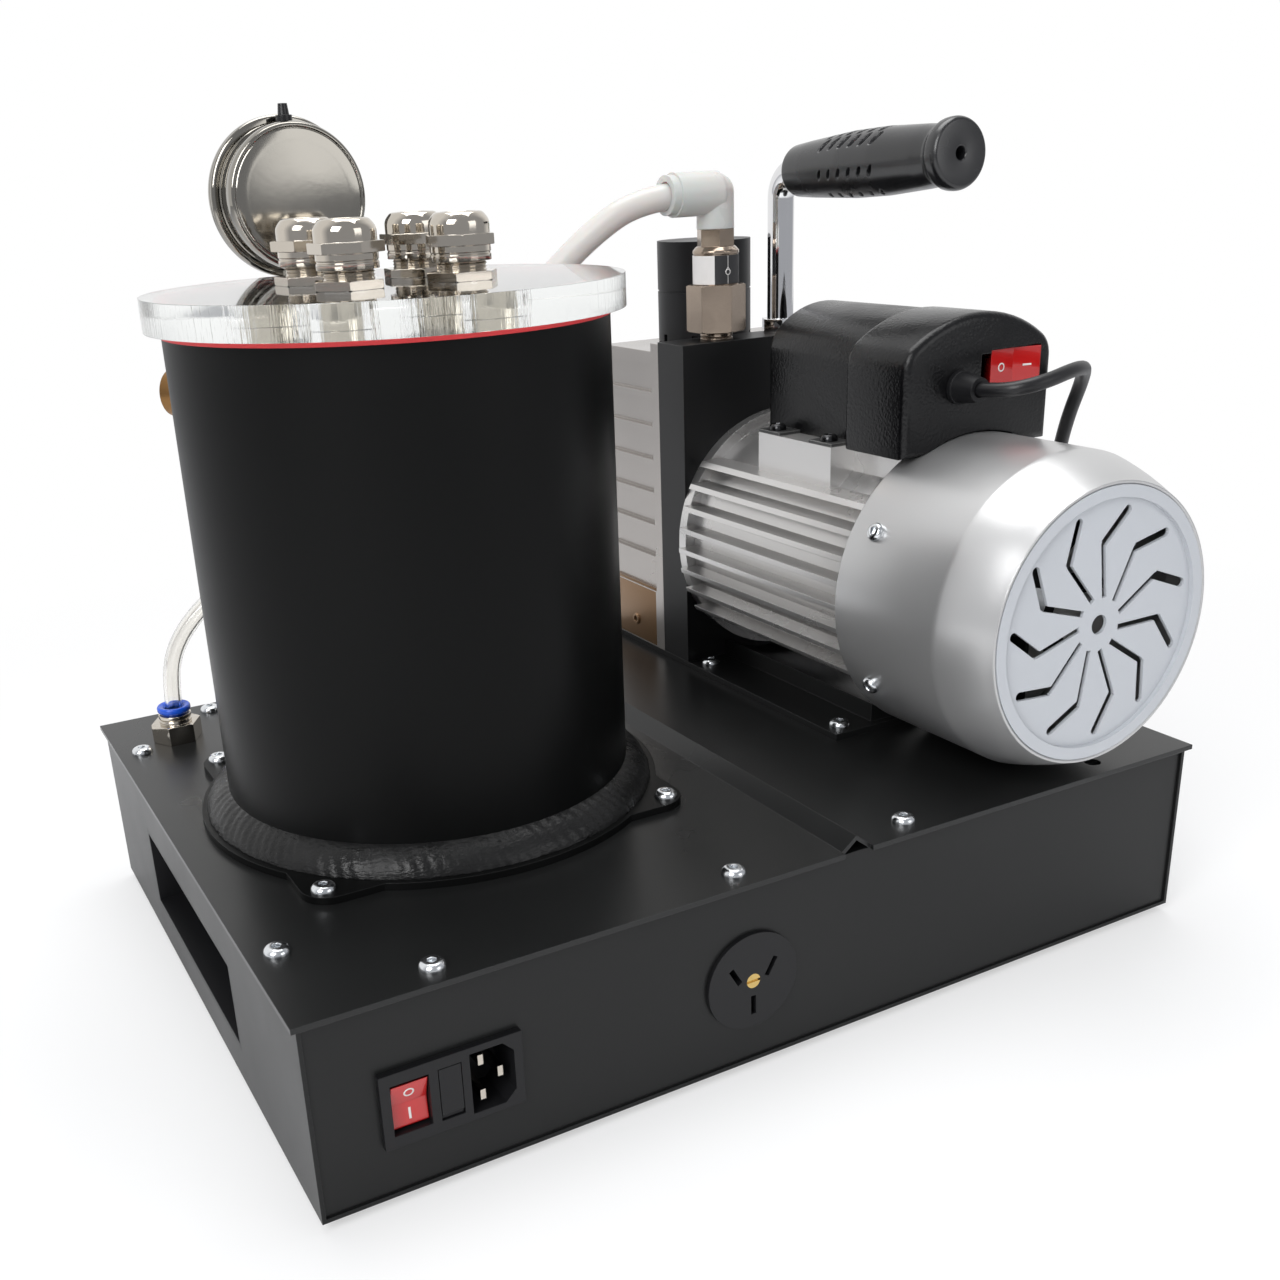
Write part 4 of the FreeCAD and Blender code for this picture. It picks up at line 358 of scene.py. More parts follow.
def soften(profile, radius, steps=4):
    """Rounds the inner corners of a profile of (radius, height) points."""
    points = [Vector(point) for point in profile]
    out = [points[0]]
    for before, corner, after in zip(points, points[1:], points[2:]):
        reach = min(radius, (corner - before).length * 0.49, (after - corner).length * 0.49)
        start = corner + (before - corner).normalized() * reach
        end = corner + (after - corner).normalized() * reach
        for step in range(steps + 1):
            share = step / steps
            out.append(start * (1 - share) ** 2 + corner * (2 * share * (1 - share)) + end * share ** 2)
    out.append(points[-1])
    return [tuple(point) for point in out]


def lathe(profile, radius=0.5, steps=72, wrapped=False):
    return shell(soften(profile, radius), steps, wrapped)


def hexagon_reach(across, step, steps):
    angle = degrees(tau * step / steps) % 60
    return across / 2 / cos(radians(angle - 30))


def hexagon_rows(across, low, high, bore=0, steps=96, ease=0.96):
    """Rows of a hexagon with turned chamfers at both ends."""
    inner = across / 2 / cos(radians(30)) * ease
    reach = [hexagon_reach(across, step, steps) for step in range(steps)]
    chamfer = [max(0.0, value - inner) * 0.6 for value in reach]
    return [(bore, low),
            [(min(value, inner), low) for value in reach],
            [(value, low + lean) for value, lean in zip(reach, chamfer)],
            [(value, high - lean) for value, lean in zip(reach, chamfer)],
            [(min(value, inner), high) for value in reach],
            (bore, high)]


def slab(xs, ys, zs, edge=0.5, segments=2):
    """A box between two x, two y and two z with rounded edges."""
    bm = bmesh.new()
    bmesh.ops.create_cube(bm, size=1)
    for vert in bm.verts:
        for axis, (low, high) in enumerate((xs, ys, zs)):
            vert.co[axis] = high if vert.co[axis] > 0 else low
    bmesh.ops.bevel(bm, geom=bm.edges[:], offset=edge, segments=segments, profile=0.5, affect="EDGES")
    return bm


def loaf(outline, low, high, edge, steps=5):
    """A bar along z of a convex outline of (x, y) points, its two rims rounded by edge."""
    corners = [Vector(point) for point in outline]
    area = sum(a.x * b.y - b.x * a.y for a, b in zip(corners, corners[1:] + corners[:1]))
    side = 1 if area > 0 else -1
    leans = []
    for before, corner, after in zip(corners[-1:] + corners[:-1], corners, corners[1:] + corners[:1]):
        first, second = (Vector((start.y - end.y, end.x - start.x)).normalized() * side
                         for start, end in ((before, corner), (corner, after)))
        leans.append((first + second) / (1 + first.dot(second)))
    rows = []
    for end, inward in ((low, 1), (high, -1)):
        rim = []
        for step in range(steps + 1):
            angle = radians(90 * step / steps)
            inset = edge * (1 - sin(angle))
            height = end + inward * edge * (1 - cos(angle))
            rim.append([(*(corner + lean * inset), height) for corner, lean in zip(corners, leans)])
        rows += rim[::inward]
    return skin(rows, capped=True)


def put(bm, matrix):
    bmesh.ops.transform(bm, matrix=matrix, verts=bm.verts)
    return bm


def mesh_of(name, parts):
    """One mesh of all the shapes in parts."""
    mesh = bpy.data.meshes.new(name)
    whole = bmesh.new()
    for bm in parts:
        bm.to_mesh(mesh)
        whole.from_mesh(mesh)
        bm.free()
    whole.to_mesh(mesh)
    whole.free()
    return mesh


def show(name, mesh):
    obj = bpy.data.objects.new(name, mesh)
    bpy.context.scene.collection.objects.link(obj)
    return obj


def settle(obj, finish_name, nodes=(), body="machine"):
    """Gives a finished mesh piece its material, its body and the nodes it stands for."""
    mesh = obj.data
    mesh.materials.clear()
    mesh.materials.append(FINISHES[finish_name])
    mesh.polygons.foreach_set("material_index", [0] * len(mesh.polygons))
    mesh.polygons.foreach_set("use_smooth", [True] * len(mesh.polygons))
    mesh.set_sharp_from_angle(angle=SOFT_ANGLE)
    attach(obj, body)
    if nodes:
        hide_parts(*nodes)
    return obj


def add(name, parts, finish_name, nodes=(), body="machine"):
    return settle(show(name, mesh_of(name, parts)), finish_name, nodes, body)


def combined(obj, part, operation):
    """Joins or cuts one closed shape with a mesh piece before it is given its body."""
    other = show("other", mesh_of("other", [part]))
    modifier = obj.modifiers.new("combine", "BOOLEAN")
    modifier.operation = operation
    modifier.solver = "EXACT"
    modifier.object = other
    plain = baked(obj)
    bpy.data.objects.remove(other)
    if not plain.data.polygons:
        raise RuntimeError(f"{plain.name} lost its shape")
    return plain


def worked_out(obj):
    """The mesh that an object's curve, text or modifiers give."""
    bpy.context.view_layer.update()
    return bpy.data.meshes.new_from_object(obj.evaluated_get(bpy.context.evaluated_depsgraph_get()))


def baked(obj):
    """The object with its modifiers worked out, as a plain mesh under the same name."""
    name = obj.name
    mesh = worked_out(obj)
    bpy.data.batch_remove((obj, obj.data))
    mesh.name = name
    return show(name, mesh)


# Repeats through Geometry Nodes

def scatter_tree(template, material):
    """A tree that sets a template on every point, turned by the point's own angles."""
    tree = bpy.data.node_groups.new(f"set_{template.name}", "GeometryNodeTree")
    tree.interface.new_socket("Places", in_out="INPUT", socket_type="NodeSocketGeometry")
    size = tree.interface.new_socket("Size", in_out="INPUT", socket_type="NodeSocketFloat")
    size.default_value = 1.0
    tree.interface.new_socket("Pieces", in_out="OUTPUT", socket_type="NodeSocketGeometry")
    source = add_node(tree, "NodeGroupInput").outputs
    info = add_node(tree, "GeometryNodeObjectInfo", {"Object": template})
    turn = add_node(tree, "GeometryNodeInputNamedAttribute", {"Name": "turn"}, data_type="FLOAT_VECTOR")
    angles = add_node(tree, "FunctionNodeEulerToRotation", {"Euler": turn.outputs["Attribute"]})
    copies = add_node(tree, "GeometryNodeInstanceOnPoints", {
        "Points": source["Places"], "Scale": source["Size"], "Instance": info.outputs["Geometry"],
        "Rotation": angles.outputs["Rotation"]})
    real = add_node(tree, "GeometryNodeRealizeInstances", {"Geometry": copies.outputs["Instances"]})
    paint = add_node(tree, "GeometryNodeSetMaterial", {
        "Geometry": real.outputs["Geometry"], "Material": material})
    add_node(tree, "NodeGroupOutput", {"Pieces": paint.outputs["Geometry"]})
    return tree, size.identifier


def scatter(name, template_parts, places, finish_name, nodes=(), body="machine"):
    """Copies of one template at places, each (point, Euler angles), as one plain mesh piece."""
    template = show(f"{name}_template", mesh_of(f"{name}_template", template_parts))
    points = bpy.data.meshes.new(name)
    points.from_pydata([point for point, turn in places], [], [])
    turns = points.attributes.new("turn", "FLOAT_VECTOR", "POINT")
    for number, (point, turn) in enumerate(places):
        turns.data[number].vector = turn
    obj = show(name, points)
    tree, size_input = scatter_tree(template, FINISHES[finish_name])
    modifier = obj.modifiers.new("repeat", "NODES")
    modifier.node_group = tree
    modifier[size_input] = 1.0
    plain = baked(obj)
    bpy.data.batch_remove((template, template.data, tree))
    return settle(plain, finish_name, nodes, body)


def button_screw(head_d, rise, shank_d, long, across=3.0, socket=1.7, steps=36):
    """A domed button head with a hexagon socket, its underside at z 0."""
    dome = []
    for step in range(7):
        angle = radians(90 * step / 6)
        dome.append((head_d / 2 - (head_d / 2 - across * 0.8) * (1 - cos(angle)),
                     0.35 + (rise - 0.35) * sin(angle)))
    reach = [hexagon_reach(across, step, steps) for step in range(steps)]
    rows = [(0, -long), (shank_d / 2, -long), (shank_d / 2, 0), (head_d / 2, 0), *dome,
            [(value * 1.06, rise) for value in reach],
            [(value, rise - 0.15) for value in reach],
            [(value, rise - socket) for value in reach],
            (0, rise - socket - 0.4)]
    return put(shell(rows, steps), TO_METRES)


# The pieces

# Places, heights and radii in millimetres, the places measured from the base's corner
DECK = 78
FLANGE_TOP = 81
CHAMBER = (108.5, 148.3)
FLANGE_SCREW_OFF = 73.3
LID_TOP = 285.1
GLAND_OFF = 22
NUT_LOW = 291.9
GAUGE_Z = 316
GAUGE_BACK = 240.5
DIAL_FACE = 255.8
TICK_RADIUS = 26.2
NUMBER_RADIUS = 17.6
STEM_Y = 251
FITTING = (27.5, 268)
PUMP = (336.5, 145)
COVER_RADIUS = 66
BLOCK_MIDDLE = 222.5
VALVE_X = 306.5
BAND_RADIUS = 11.2
GRIP_START = (345, 208, 316.357)

# Angles in degrees
DIAL_START = -135
DIAL_STEP = 9
BAND_START = 120
BAND_CHANGE = 234
SIGN_TURN = 268
GRIP_DROOP = 2.2


def upright(places, z):
    return [(spot(x, y, z), (0, 0, radians(17 * number))) for number, (x, y) in enumerate(places)]


def round_chamber(off):
    """Four places round the chamber's middle, each off along x and along y."""
    x, y = CHAMBER
    return [(x + sx * off, y + sy * off) for sx in (-1, 1) for sy in (-1, 1)]


class PieceOperator(bpy.types.Operator):
    """Adds one group of pieces"""
    bl_options = {"REGISTER", "UNDO"}

    def execute(self, context):
        self.build(context)
        return {"FINISHED"}


class CASTING_OT_finishes(PieceOperator):
    """Makes every finish and gives each carried-over piece its own"""
    bl_idname = "casting.finishes"
    bl_label = "Finishes"

    def build(self, context):
        make_finishes()
        for entry in frame["record"]["subparts"]:
            node = entry["node"]
            dress_node(node, NODE_FINISH.get(node, entry["material_slot"]))


class CASTING_OT_screws(PieceOperator):
    """Sets the button screws of the top plate, flange, pump foot, terminal box and fan cover"""
    bl_idname = "casting.screws"
    bl_label = "Screws"

    def build(self, context):
        head = context.scene.casting_sizes.screw_head * 1000
        plate = [(x, 296.5) for x in (50, 170, 250, 350)] + [(x, 8.5) for x in (50, 170, 250)]
        plate += [(x, y) for x in (8.5, 391.5) for y in (46, 259)]
        foot = [(x, y) for x in (288, 377) for y in (96.5, 202.5)]
        tabs = [(x, y) for x in (298.5, 374.5) for y in (122, 160)]
        for name, node, places, z, size, long, colour in (
                ("top_plate_screws", "top_screws", plate, DECK, head, 9.5, "steel"),
                ("chamber_flange_screws", "flange_screws", round_chamber(FLANGE_SCREW_OFF), FLANGE_TOP, head,
                 9.5, "steel"),
                ("pump_foot_screws", "foot_screws", foot, FLANGE_TOP, head, 3, "steel"),
                ("terminal_box_screws", "tab_screws", tabs, 205.5, 8, 8, "black_screw")):
            scatter(name, [button_screw(size, 2.8, 5, long)], upright(places, z), colour,
                    [node])
        cover = []
        for angle in (30, -30, 150, -150):
            lean = radians(angle)
            point = spot(PUMP[0] + COVER_RADIUS * cos(lean), 65, PUMP[1] - COVER_RADIUS * sin(lean))
            cover.append((point, (0, radians(90) + lean, 0)))
        scatter("fan_cover_screws", [button_screw(8, 2.5, 4, 9)], cover, "steel",
                ["cover_screws"])


class CASTING_OT_chamber(PieceOperator):
    """Lays the brushed weld bead round the foot of the vacuum chamber"""
    bl_idname = "casting.chamber"
    bl_label = "Chamber weld"

    def build(self, context):
        steps = 480
        profile = [(84.0, 81.05), (94.1, 81.05), (93.7, 82.6), (92.2, 85.2), (90.0, 87.6), (87.6, 89.3),
                   (85.4, 90.4), (84.0, 91.0)]
        rows = []
        for number, (radius, height) in enumerate(profile):
            share = 0 if number in (0, len(profile) - 1) else 1
            row = []
            for step in range(steps):
                angle = tau * step / steps
                wave = 0.32 * sin(120 * angle + 1.3 * number + 2 * sin(7 * angle))
                wave += 0.22 * sin(31 * angle + number) + 0.3 * sin(5 * angle)
                row.append((radius + share * wave * 0.6, height + share * wave * 0.5 * (height > 81.1)))
            rows.append(row)
        bead = put(shell(rows, steps, wrapped=True), seat(*CHAMBER, 0))
        add("weld_bead", [bead], "weld")


class CASTING_OT_glands(PieceOperator):
    """Sets the four cable glands: threaded necks, rubber plugs and domed nuts"""
    bl_idname = "casting.glands"
    bl_label = "Cable glands"

    def build(self, context):
        neck = [(0, -12), (9, -12), (9, 0)]
        thread = [(0, 3.2), (9.1, 3.2)]
        for turn in range(10):
            thread += [(9.45, 3.5 + turn * 1.15), (8.9, 4.05 + turn * 1.15)]
        thread += [(9.2, 15.2), (4.6, 15.2), (4.6, 3.0), (0, 3.0)]
        template = [shell([*neck, (0, 0)], 48), shell(hexagon_rows(24, 0, 3.2), 96), shell(thread, 64)]
        template = [put(bm, TO_METRES) for bm in template]
        places = [(spot(x, y, LID_TOP), (0, 0, radians(11 + 23 * number)))
                  for number, (x, y) in enumerate(round_chamber(GLAND_OFF))]
        scatter("gland_necks", template, places, "nickel", ["gland_bodies"], "lid")
        plug = lathe([(0, -12), (4.4, -12), (4.4, 15.3), (5.7, 15.3), (5.7, 21.2), (4, 21.6),
                      (0, 21.2)], 0.5, 40)
        scatter("gland_plugs", [put(plug, TO_METRES)], places, "rubber", body="lid")
        for number, (x, y) in enumerate(round_chamber(GLAND_OFF), 1):
            body = [(9.9, 0.6), (10.3, 0), (11.2, 0), (11.3, 0.2), (11.3, 2.2), (11.0, 2.4), (11.0, 3.0),
                    (11.3, 3.2)]
            band = hexagon_rows(24, 5.5, 9.3, bore=11.3, ease=0.975)
            top = soften([(11.3, 9.3), (11.3, 14.1), (8.8, 17.1), (6.3, 17.1), (6.0, 16.4)], 1.6, 6)
            rows = body + [(11.3, 5.4)] + band[1:-1] + top + [(6.0, 9.3), (9.9, 8.4)]
            nut = put(shell(rows, 96, wrapped=True), seat(x, y, NUT_LOW, spin=14 + 19 * number))
            add(f"clamping_nut_{number}", [nut], "nickel", [f"gland_nut_{number}"],
                f"gland_nut_{number}")


class CASTING_OT_gauge(PieceOperator):
    """Makes the polished gauge with its printed dial, which faces the back"""
    bl_idname = "casting.gauge"
    bl_label = "Dial gauge"

    def build(self, context):
        x = CHAMBER[0]
        gauge_seat = seat(x, GAUGE_BACK, GAUGE_Z, FACE_BACK)
        case = soften([(0, 0.35), (22, 0.3), (26.9, 0.25), (27.4, 0.75), (27.9, 0.1), (29.2, 0.6),
                       (29.9, 2.6), (30, 4), (30, 12.5), (29.4, 13), (29.4, 16.2), (30, 16.7), (30, 21),
                       (28.8, 21), (28.8, 1.6), (0, 1.6)], 0.5, 3)
        parts = [put(shell(case, 128), gauge_seat),
                 put(shell(hexagon_rows(14, 273.4, 286.6), 96), seat(x, STEM_Y, 0)),
                 put(lathe([(0, 250), (5, 250), (5, 287), (0, 287)]), seat(x, STEM_Y, 0)),
                 put(lathe([(0, 1.4), (3, 1.4), (3, 14.5), (0, 14.5)], 0.2, 32), gauge_seat)]
        add("gauge_housing", parts, "gauge_shell", ["gauge_case"])
        rim = [(30.25, 17.5), (32.2, 17.5), (33.2, 18.4), (33.2, 20), (32.7, 20.4), (33.2, 20.9),
               (33.2, 23.3), (32, 24.5), (29.6, 24.4), (27.3, 23.6), (27.3, 23.1), (30.25, 23.1)]
        add("gauge_rim", [put(lathe(rim, 0.5, 128, wrapped=True), gauge_seat)], "gauge_shell",
            ["gauge_bezel"])
        self.print_dial(x)

    def print_dial(self, x):
        """Ticks and plain numbers from the lower right round to the lower left, seen from behind."""
        marks = []
        for tick in range(31):
            long, wide = (4.2, 0.75) if tick % 5 == 0 else (2.4, 0.4)
            stroke = slab((-wide / 2, wide / 2), (-0.02, 0.06), (TICK_RADIUS - long, TICK_RADIUS), 0.02, 1)
            turn = Matrix.Rotation(radians(DIAL_START + DIAL_STEP * tick), 4, "Y")
            marks.append(put(stroke, seat(x, DIAL_FACE, GAUGE_Z, turn)))
        add("dial_ticks", marks, "ink")
        facing_back = Matrix(((-1, 0, 0, 0), (0, 0, 1, 0), (0, 1, 0, 0), (0, 0, 0, 1)))
        digits = []
        for number in range(0, 31, 5):
            angle = radians(DIAL_START + DIAL_STEP * number)
            across, up = NUMBER_RADIUS * sin(angle), NUMBER_RADIUS * cos(angle)
            place = seat(x + across, DIAL_FACE + 0.04, GAUGE_Z + up, facing_back)
            digits.append(put(lettering(str(number), 5.2), place))
        add("dial_numbers", digits, "ink")


def lettering(text, tall):
    """Flat centred figures as a mesh shape in millimetres."""
    curve = bpy.data.curves.new("figures", "FONT")
    curve.body = text
    curve.size = tall
    curve.align_x = "CENTER"
    curve.align_y = "CENTER"
    curve.extrude = 0.02
    writer = show("figures", curve)
    mesh = worked_out(writer)
    bm = bmesh.new()
    bm.from_mesh(mesh)
    bmesh.ops.remove_doubles(bm, verts=bm.verts, dist=0.0001)
    bpy.data.batch_remove((writer, curve, mesh))
    return bm


class CASTING_OT_fitting(PieceOperator):
    """Makes the push-in fitting with its blue release collar"""
    bl_idname = "casting.fitting"
    bl_label = "Push-in fitting"

    def build(self, context):
        where = seat(*FITTING, 0)
        nut = shell(hexagon_rows(20, 78.05, 87, bore=5.7), 96)
        sleeve = lathe([(5.7, 82), (5.7, 72), (7.5, 72), (7.5, 88), (7.1, 88.6), (7.5, 89.2), (7.5, 91),
                        (5.7, 91)], 0.3, wrapped=True)
        lock = shell(hexagon_rows(20, 73, 76), 96)
        add("fitting_body", [put(bm, where) for bm in (nut, sleeve, lock)], "nickel",
            ["tube_fitting"])
        ring = lathe([(4.15, 87.6), (5.5, 87.6), (5.5, 91.9), (7.3, 92), (7.75, 92.8), (7.75, 94.2),
                      (7.2, 95), (5.2, 94.6), (4.6, 94.0), (4.15, 93.5)], 0.4, wrapped=True)
        add("release_collar", [put(ring, where)], "blue_plastic", ["tube_collar"],
            "tube_collar")


class CASTING_OT_valve(PieceOperator):
    """Makes the check valve with its two-tone band and its plain drawing sign"""
    bl_idname = "casting.valve"
    bl_label = "Check valve"

    def build(self, context):
        where, wrench_flats, top_flats = (seat(VALVE_X, BLOCK_MIDDLE, 0, spin=spin) for spin in (0, 28, 9))
        neck = lathe([(3, 241), (8, 241), (8, 242), (7.3, 242.3), (8, 242.7), (8, 244), (7.5, 245.2),
                      (3, 245.2)], 0.2, wrapped=True)
        base = shell(hexagon_rows(25, 245, 267, bore=3, ease=0.93), 96, wrapped=True)
        body = lathe([(3, 267), (10.9, 267), (10.9, 281), (11.25, 281.2), (11.25, 282.6), (9.3, 284.6),
                      (3, 284.6)], 0.4, wrapped=True)
        top = shell(hexagon_rows(16, 284.5, 292.5, bore=3), 96, wrapped=True)
        parts = [put(bm, place) for bm, place in ((neck, where), (base, wrench_flats), (body, where),
                                                  (top, top_flats))]
        add("valve_body", parts, "valve_nickel", ["check_valve"])
        for name, first, last, colour in (("valve_sleeve_white", BAND_START, BAND_CHANGE, "mark"),
                                          ("valve_sleeve_black", BAND_CHANGE, BAND_START + 360, "ink")):
            add(name, [put(self.sleeve(first, last), where)], colour)
        add("flow_symbol", [put(bm, where) for bm in self.symbol()], "mark")

    def symbol(self):
        """The plain drawing sign of a check valve, bent round the band: a line, a ball and its seat."""
        width = (-0.16, 0.16)
        depth = (-0.1, 0.05)
        strokes = [slab(width, (267.6, 271.6), depth, 0.03, 1), slab(width, (274.6, 280.4), depth, 0.03, 1),
                   put(lathe([(1.0, -0.1), (1.4, -0.1), (1.4, 0.05), (1.0, 0.05)], 0.03, 32, wrapped=True),
                       Matrix.Translation((0, 273, 0)))]
        for side in (-1, 1):
            for step in range(4):
                leg = slab((0.62 * step - 0.05, 0.62 * step + 0.67), width, depth, 0.03, 1)
                lean = Matrix.Rotation(radians(-90 + side * 38), 4, "Z")
                strokes.append(put(leg, Matrix.Translation((0, 275.2, 0)) @ lean))
        for stroke in strokes:
            for vert in stroke.verts:
                arc, height, rise = vert.co
                vert.co = round_point(BAND_RADIUS + rise, radians(SIGN_TURN) + arc / BAND_RADIUS, height)
        return strokes

    def sleeve(self, first, last, count=40):
        """A thin printed band round part of the valve's body."""
        section = ((10.85, 267.4), (BAND_RADIUS, 267.4), (BAND_RADIUS, 280.6), (10.85, 280.6))
        angles = [radians(first + (last - first) * step / count) for step in range(count + 1)]
        return skin([[round_point(radius, angle, height) for radius, height in section] for angle in angles],
                    capped=True)


class CASTING_OT_motor(PieceOperator):
    """Makes the domed fan cover, the sump and the sight glass of the pump"""
    bl_idname = "casting.motor"
    bl_label = "Motor and pump"

    def build(self, context):
        dome = []
        for step in range(13):
            share = step / 12
            dome.append((58 + (COVER_RADIUS - 58) * share + 2.3 * share * (1 - share), -2.5 + 22.5 * share))
        outer = [(55.8, -3.9), (56.4, -4.45), (57.2, -4.45), *dome, (COVER_RADIUS, 21),
                 (COVER_RADIUS, 79.2), (COVER_RADIUS - 0.2, 80)]
        inner = [(64.6, 80), (64.5, 21)] + [(radius - 1.5, height + 0.6) for radius, height in reversed(dome)]
        cover = put(shell(outer + inner + [(55.8, -1.6)], 160, wrapped=True),
                    seat(PUMP[0], 0, PUMP[1], FACE_BACK))
        add("motor_fan_cover", [cover], "cover_silver", ["fan_cover"])
        sump = [put(slab((279.4, 393.6), (241.3, 289.1), (81.1, 112.1), edge=0.8), seat(0, 0, 0)),
                put(button_screw(6, 1.2, 3, 2), Matrix.Translation(spot(279.4, 262, 92)) @ FACE_LEFT)]
        # The sump's brown finish is painted shade and a painted brown reflection
        add("oil_sump", sump, "sump_tan")
        glass = lathe([(0, 286.05), (11.8, 286.05), (11.8, 287.6), (11, 288.2), (0, 288.6)], 0.5, 64)
        add("sight_glass", [put(glass, seat(PUMP[0], 0, PUMP[1], FACE_BACK))], "lens_glass")


class CASTING_OT_terminal_box(PieceOperator):
    """Makes the arched, grained terminal box over the motor"""
    bl_idname = "casting.terminal_box"
    bl_label = "Terminal box"

    def arch(self, half, low, crown):
        """Upright sides under an arched roof, with rounded shoulders."""
        rise = 15
        ease = 6
        radius = (half * half + rise * rise) / (2 * rise)
        reach = asin(half / radius) - ease / radius
        roof = []
        for step in range(17):
            angle = reach - 2 * reach * step / 16
            roof.append((radius * sin(angle), crown - radius + radius * cos(angle)))
        side = crown - rise
        shoulder = []
        for step in range(6):
            share = step / 6
            shoulder.append((half * (1 - share * share) + roof[0][0] * share * share,
                             (side - ease) * (1 - share) ** 2 + side * 2 * share * (1 - share)
                             + roof[0][1] * share * share))
        right = [(half, low), *shoulder]
        left = [(-x, z) for x, z in reversed(right)]
        return [(PUMP[0] + x, z) for x, z in (*right, *roof, *left)]

    def build(self, context):
        front = loaf(self.arch(40, 204, 260), -110, -70.5, edge=3.5)
        rear = loaf(self.arch(31, 204, 259.4), -178, -105, edge=3.5)
        along = seat(0, 0, 0, FACE_FRONT)
        box = show("terminal_cover", mesh_of("terminal_cover", [put(front, along)]))
        box = combined(box, put(rear, along), "UNION")
        arc = lathe([(0, 60), (66.6, 60), (66.6, 81.2), (0, 81.2)], 0.1, 128)
        pocket = slab((341.6, 369.4), (60, 85.5), (228.6, 244.4), edge=0.3)
        notch = slab((336.4, 343.0), (60, 76.5), (230.0, 243.0), edge=0.3)
        hole = lathe([(0, 60), (5, 60), (5, 76), (0, 76)], 0.1, 32)
        for cutter, place in ((arc, seat(PUMP[0], 0, PUMP[1], FACE_BACK)), (pocket, seat(0, 0, 0)),
                              (notch, seat(0, 0, 0)), (hole, seat(325, 0, 231, FACE_BACK))):
            box = combined(box, put(cutter, place), "DIFFERENCE")
        settle(box, "box_plastic", ["terminal_box"])


class CASTING_OT_switches(PieceOperator):
    """Prints the plain on and off marks on both rockers"""
    bl_idname = "casting.switches"
    bl_label = "Switch marks"

    def mark(self, kind, tall):
        if kind == "bar":
            return slab((-tall * 0.1, tall * 0.1), (-tall / 2, tall / 2), (-0.1, 0.08), 0.03, 1)
        wide = tall * 0.42
        return lathe([(wide * 0.68, -0.1), (wide, -0.1), (wide, 0.08), (wide * 0.68, 0.08)], 0.03, 32,
                     wrapped=True)

    def face(self, origin, right, up):
        right = right.normalized()
        up = up.normalized()
        out = right.cross(up)
        turn = Matrix((right, up, out)).transposed().to_4x4()
        return seat(*origin, turn)

    def build(self, context):
        right = Vector((1, 0, 0))
        high = self.face((34.5, 0.2, 39.5), right, Vector((0, -2.8, 8.9)))
        low = self.face((34.5, 1.3, 30.5), right, Vector((0, 0.6, 8.9)))
        add("inlet_switch_marks", [put(self.mark("ring", 4.6), high), put(self.mark("bar", 4.4), low)],
            "mark", body="inlet_rocker")
        up = Vector((0, 0, 1))
        near = self.face((362.2, 70.65, 236.5), Vector((12.9, -2.8, 0)), up)
        far = self.face((348.8, 71.8, 236.5), Vector((12.9, 0.6, 0)), up)
        quarter = Matrix.Rotation(radians(90), 4, "Z")
        add("pump_switch_marks", [put(self.mark("bar", 4.2), near @ quarter),
                                  put(self.mark("ring", 4.4), far)],
            "mark", body="pump_rocker")


class CASTING_OT_handle(PieceOperator):
    """Moulds the carrying grip with its rows of dimples"""
    bl_idname = "casting.handle"
    bl_label = "Handle grip"

    def build(self, context):
        count = context.scene.casting_sizes.dimple_count
        profile = soften([(0, 0), (10.4, 0), (11.7, 1.6), (12.6, 14), (14.25, 44), (14.25, 66), (12.9, 92),
                          (12.2, 99.6), (13, 101), (12.3, 102), (14.2, 103.2), (14.5, 105.5), (14.5, 108),
                          (13.4, 110), (3, 110), (2.5, 109.2), (2.2, 100), (0, 100)], 1.0, 4)
        large, small = (1.5, 2.9), (0.8, 1.9)
        turns = ((107, large), (137, large), (195, small), (244, small), (61, small), (12, small))
        dimples = [(turn, 32 + 36 * number / (count - 1), *size)
                   for turn, size in turns for number in range(count)]
        first, last = 28, 74
        dimple_edge, dimple_slope, dimple_depth, slant = 1.25, 2.4, 2.2, 0.55
        close_rows, plain_rows = 0.45, 4
        fine = []
        for (r0, h0), (r1, h1) in zip(profile, profile[1:]):
            dimpled = first < max(h0, h1) and min(h0, h1) < last
            parts = max(1, int(abs(h1 - h0) / (close_rows if dimpled else plain_rows)))
            fine += [(r0 + (r1 - r0) * k / parts, h0 + (h1 - h0) * k / parts) for k in range(parts)]
        fine.append(profile[-1])
        rows = []
        steps = 180
        for radius, height in fine:
            if radius < 9 or not first < height < last:
                rows.append((radius, height))
                continue
            row = []
            for step in range(steps):
                angle = 360 * step / steps
                push = 0
                for turn, at, along, across in dimples:
                    arc = radians((angle - turn + 180) % 360 - 180) * radius
                    reach = hypot((height - at + slant * arc) / along, arc / across)
                    if reach < dimple_edge:
                        push = max(push, min(1, (dimple_edge - reach) * dimple_slope))
                row.append((radius - dimple_depth * push, height))
            rows.append(row)
        lean = Matrix.Rotation(radians(90 - GRIP_DROOP), 4, "X")
        add("moulded_grip", [put(shell(rows, steps), seat(*GRIP_START, lean))], "grip_rubber",
            ["handle_grip"])


# Cords

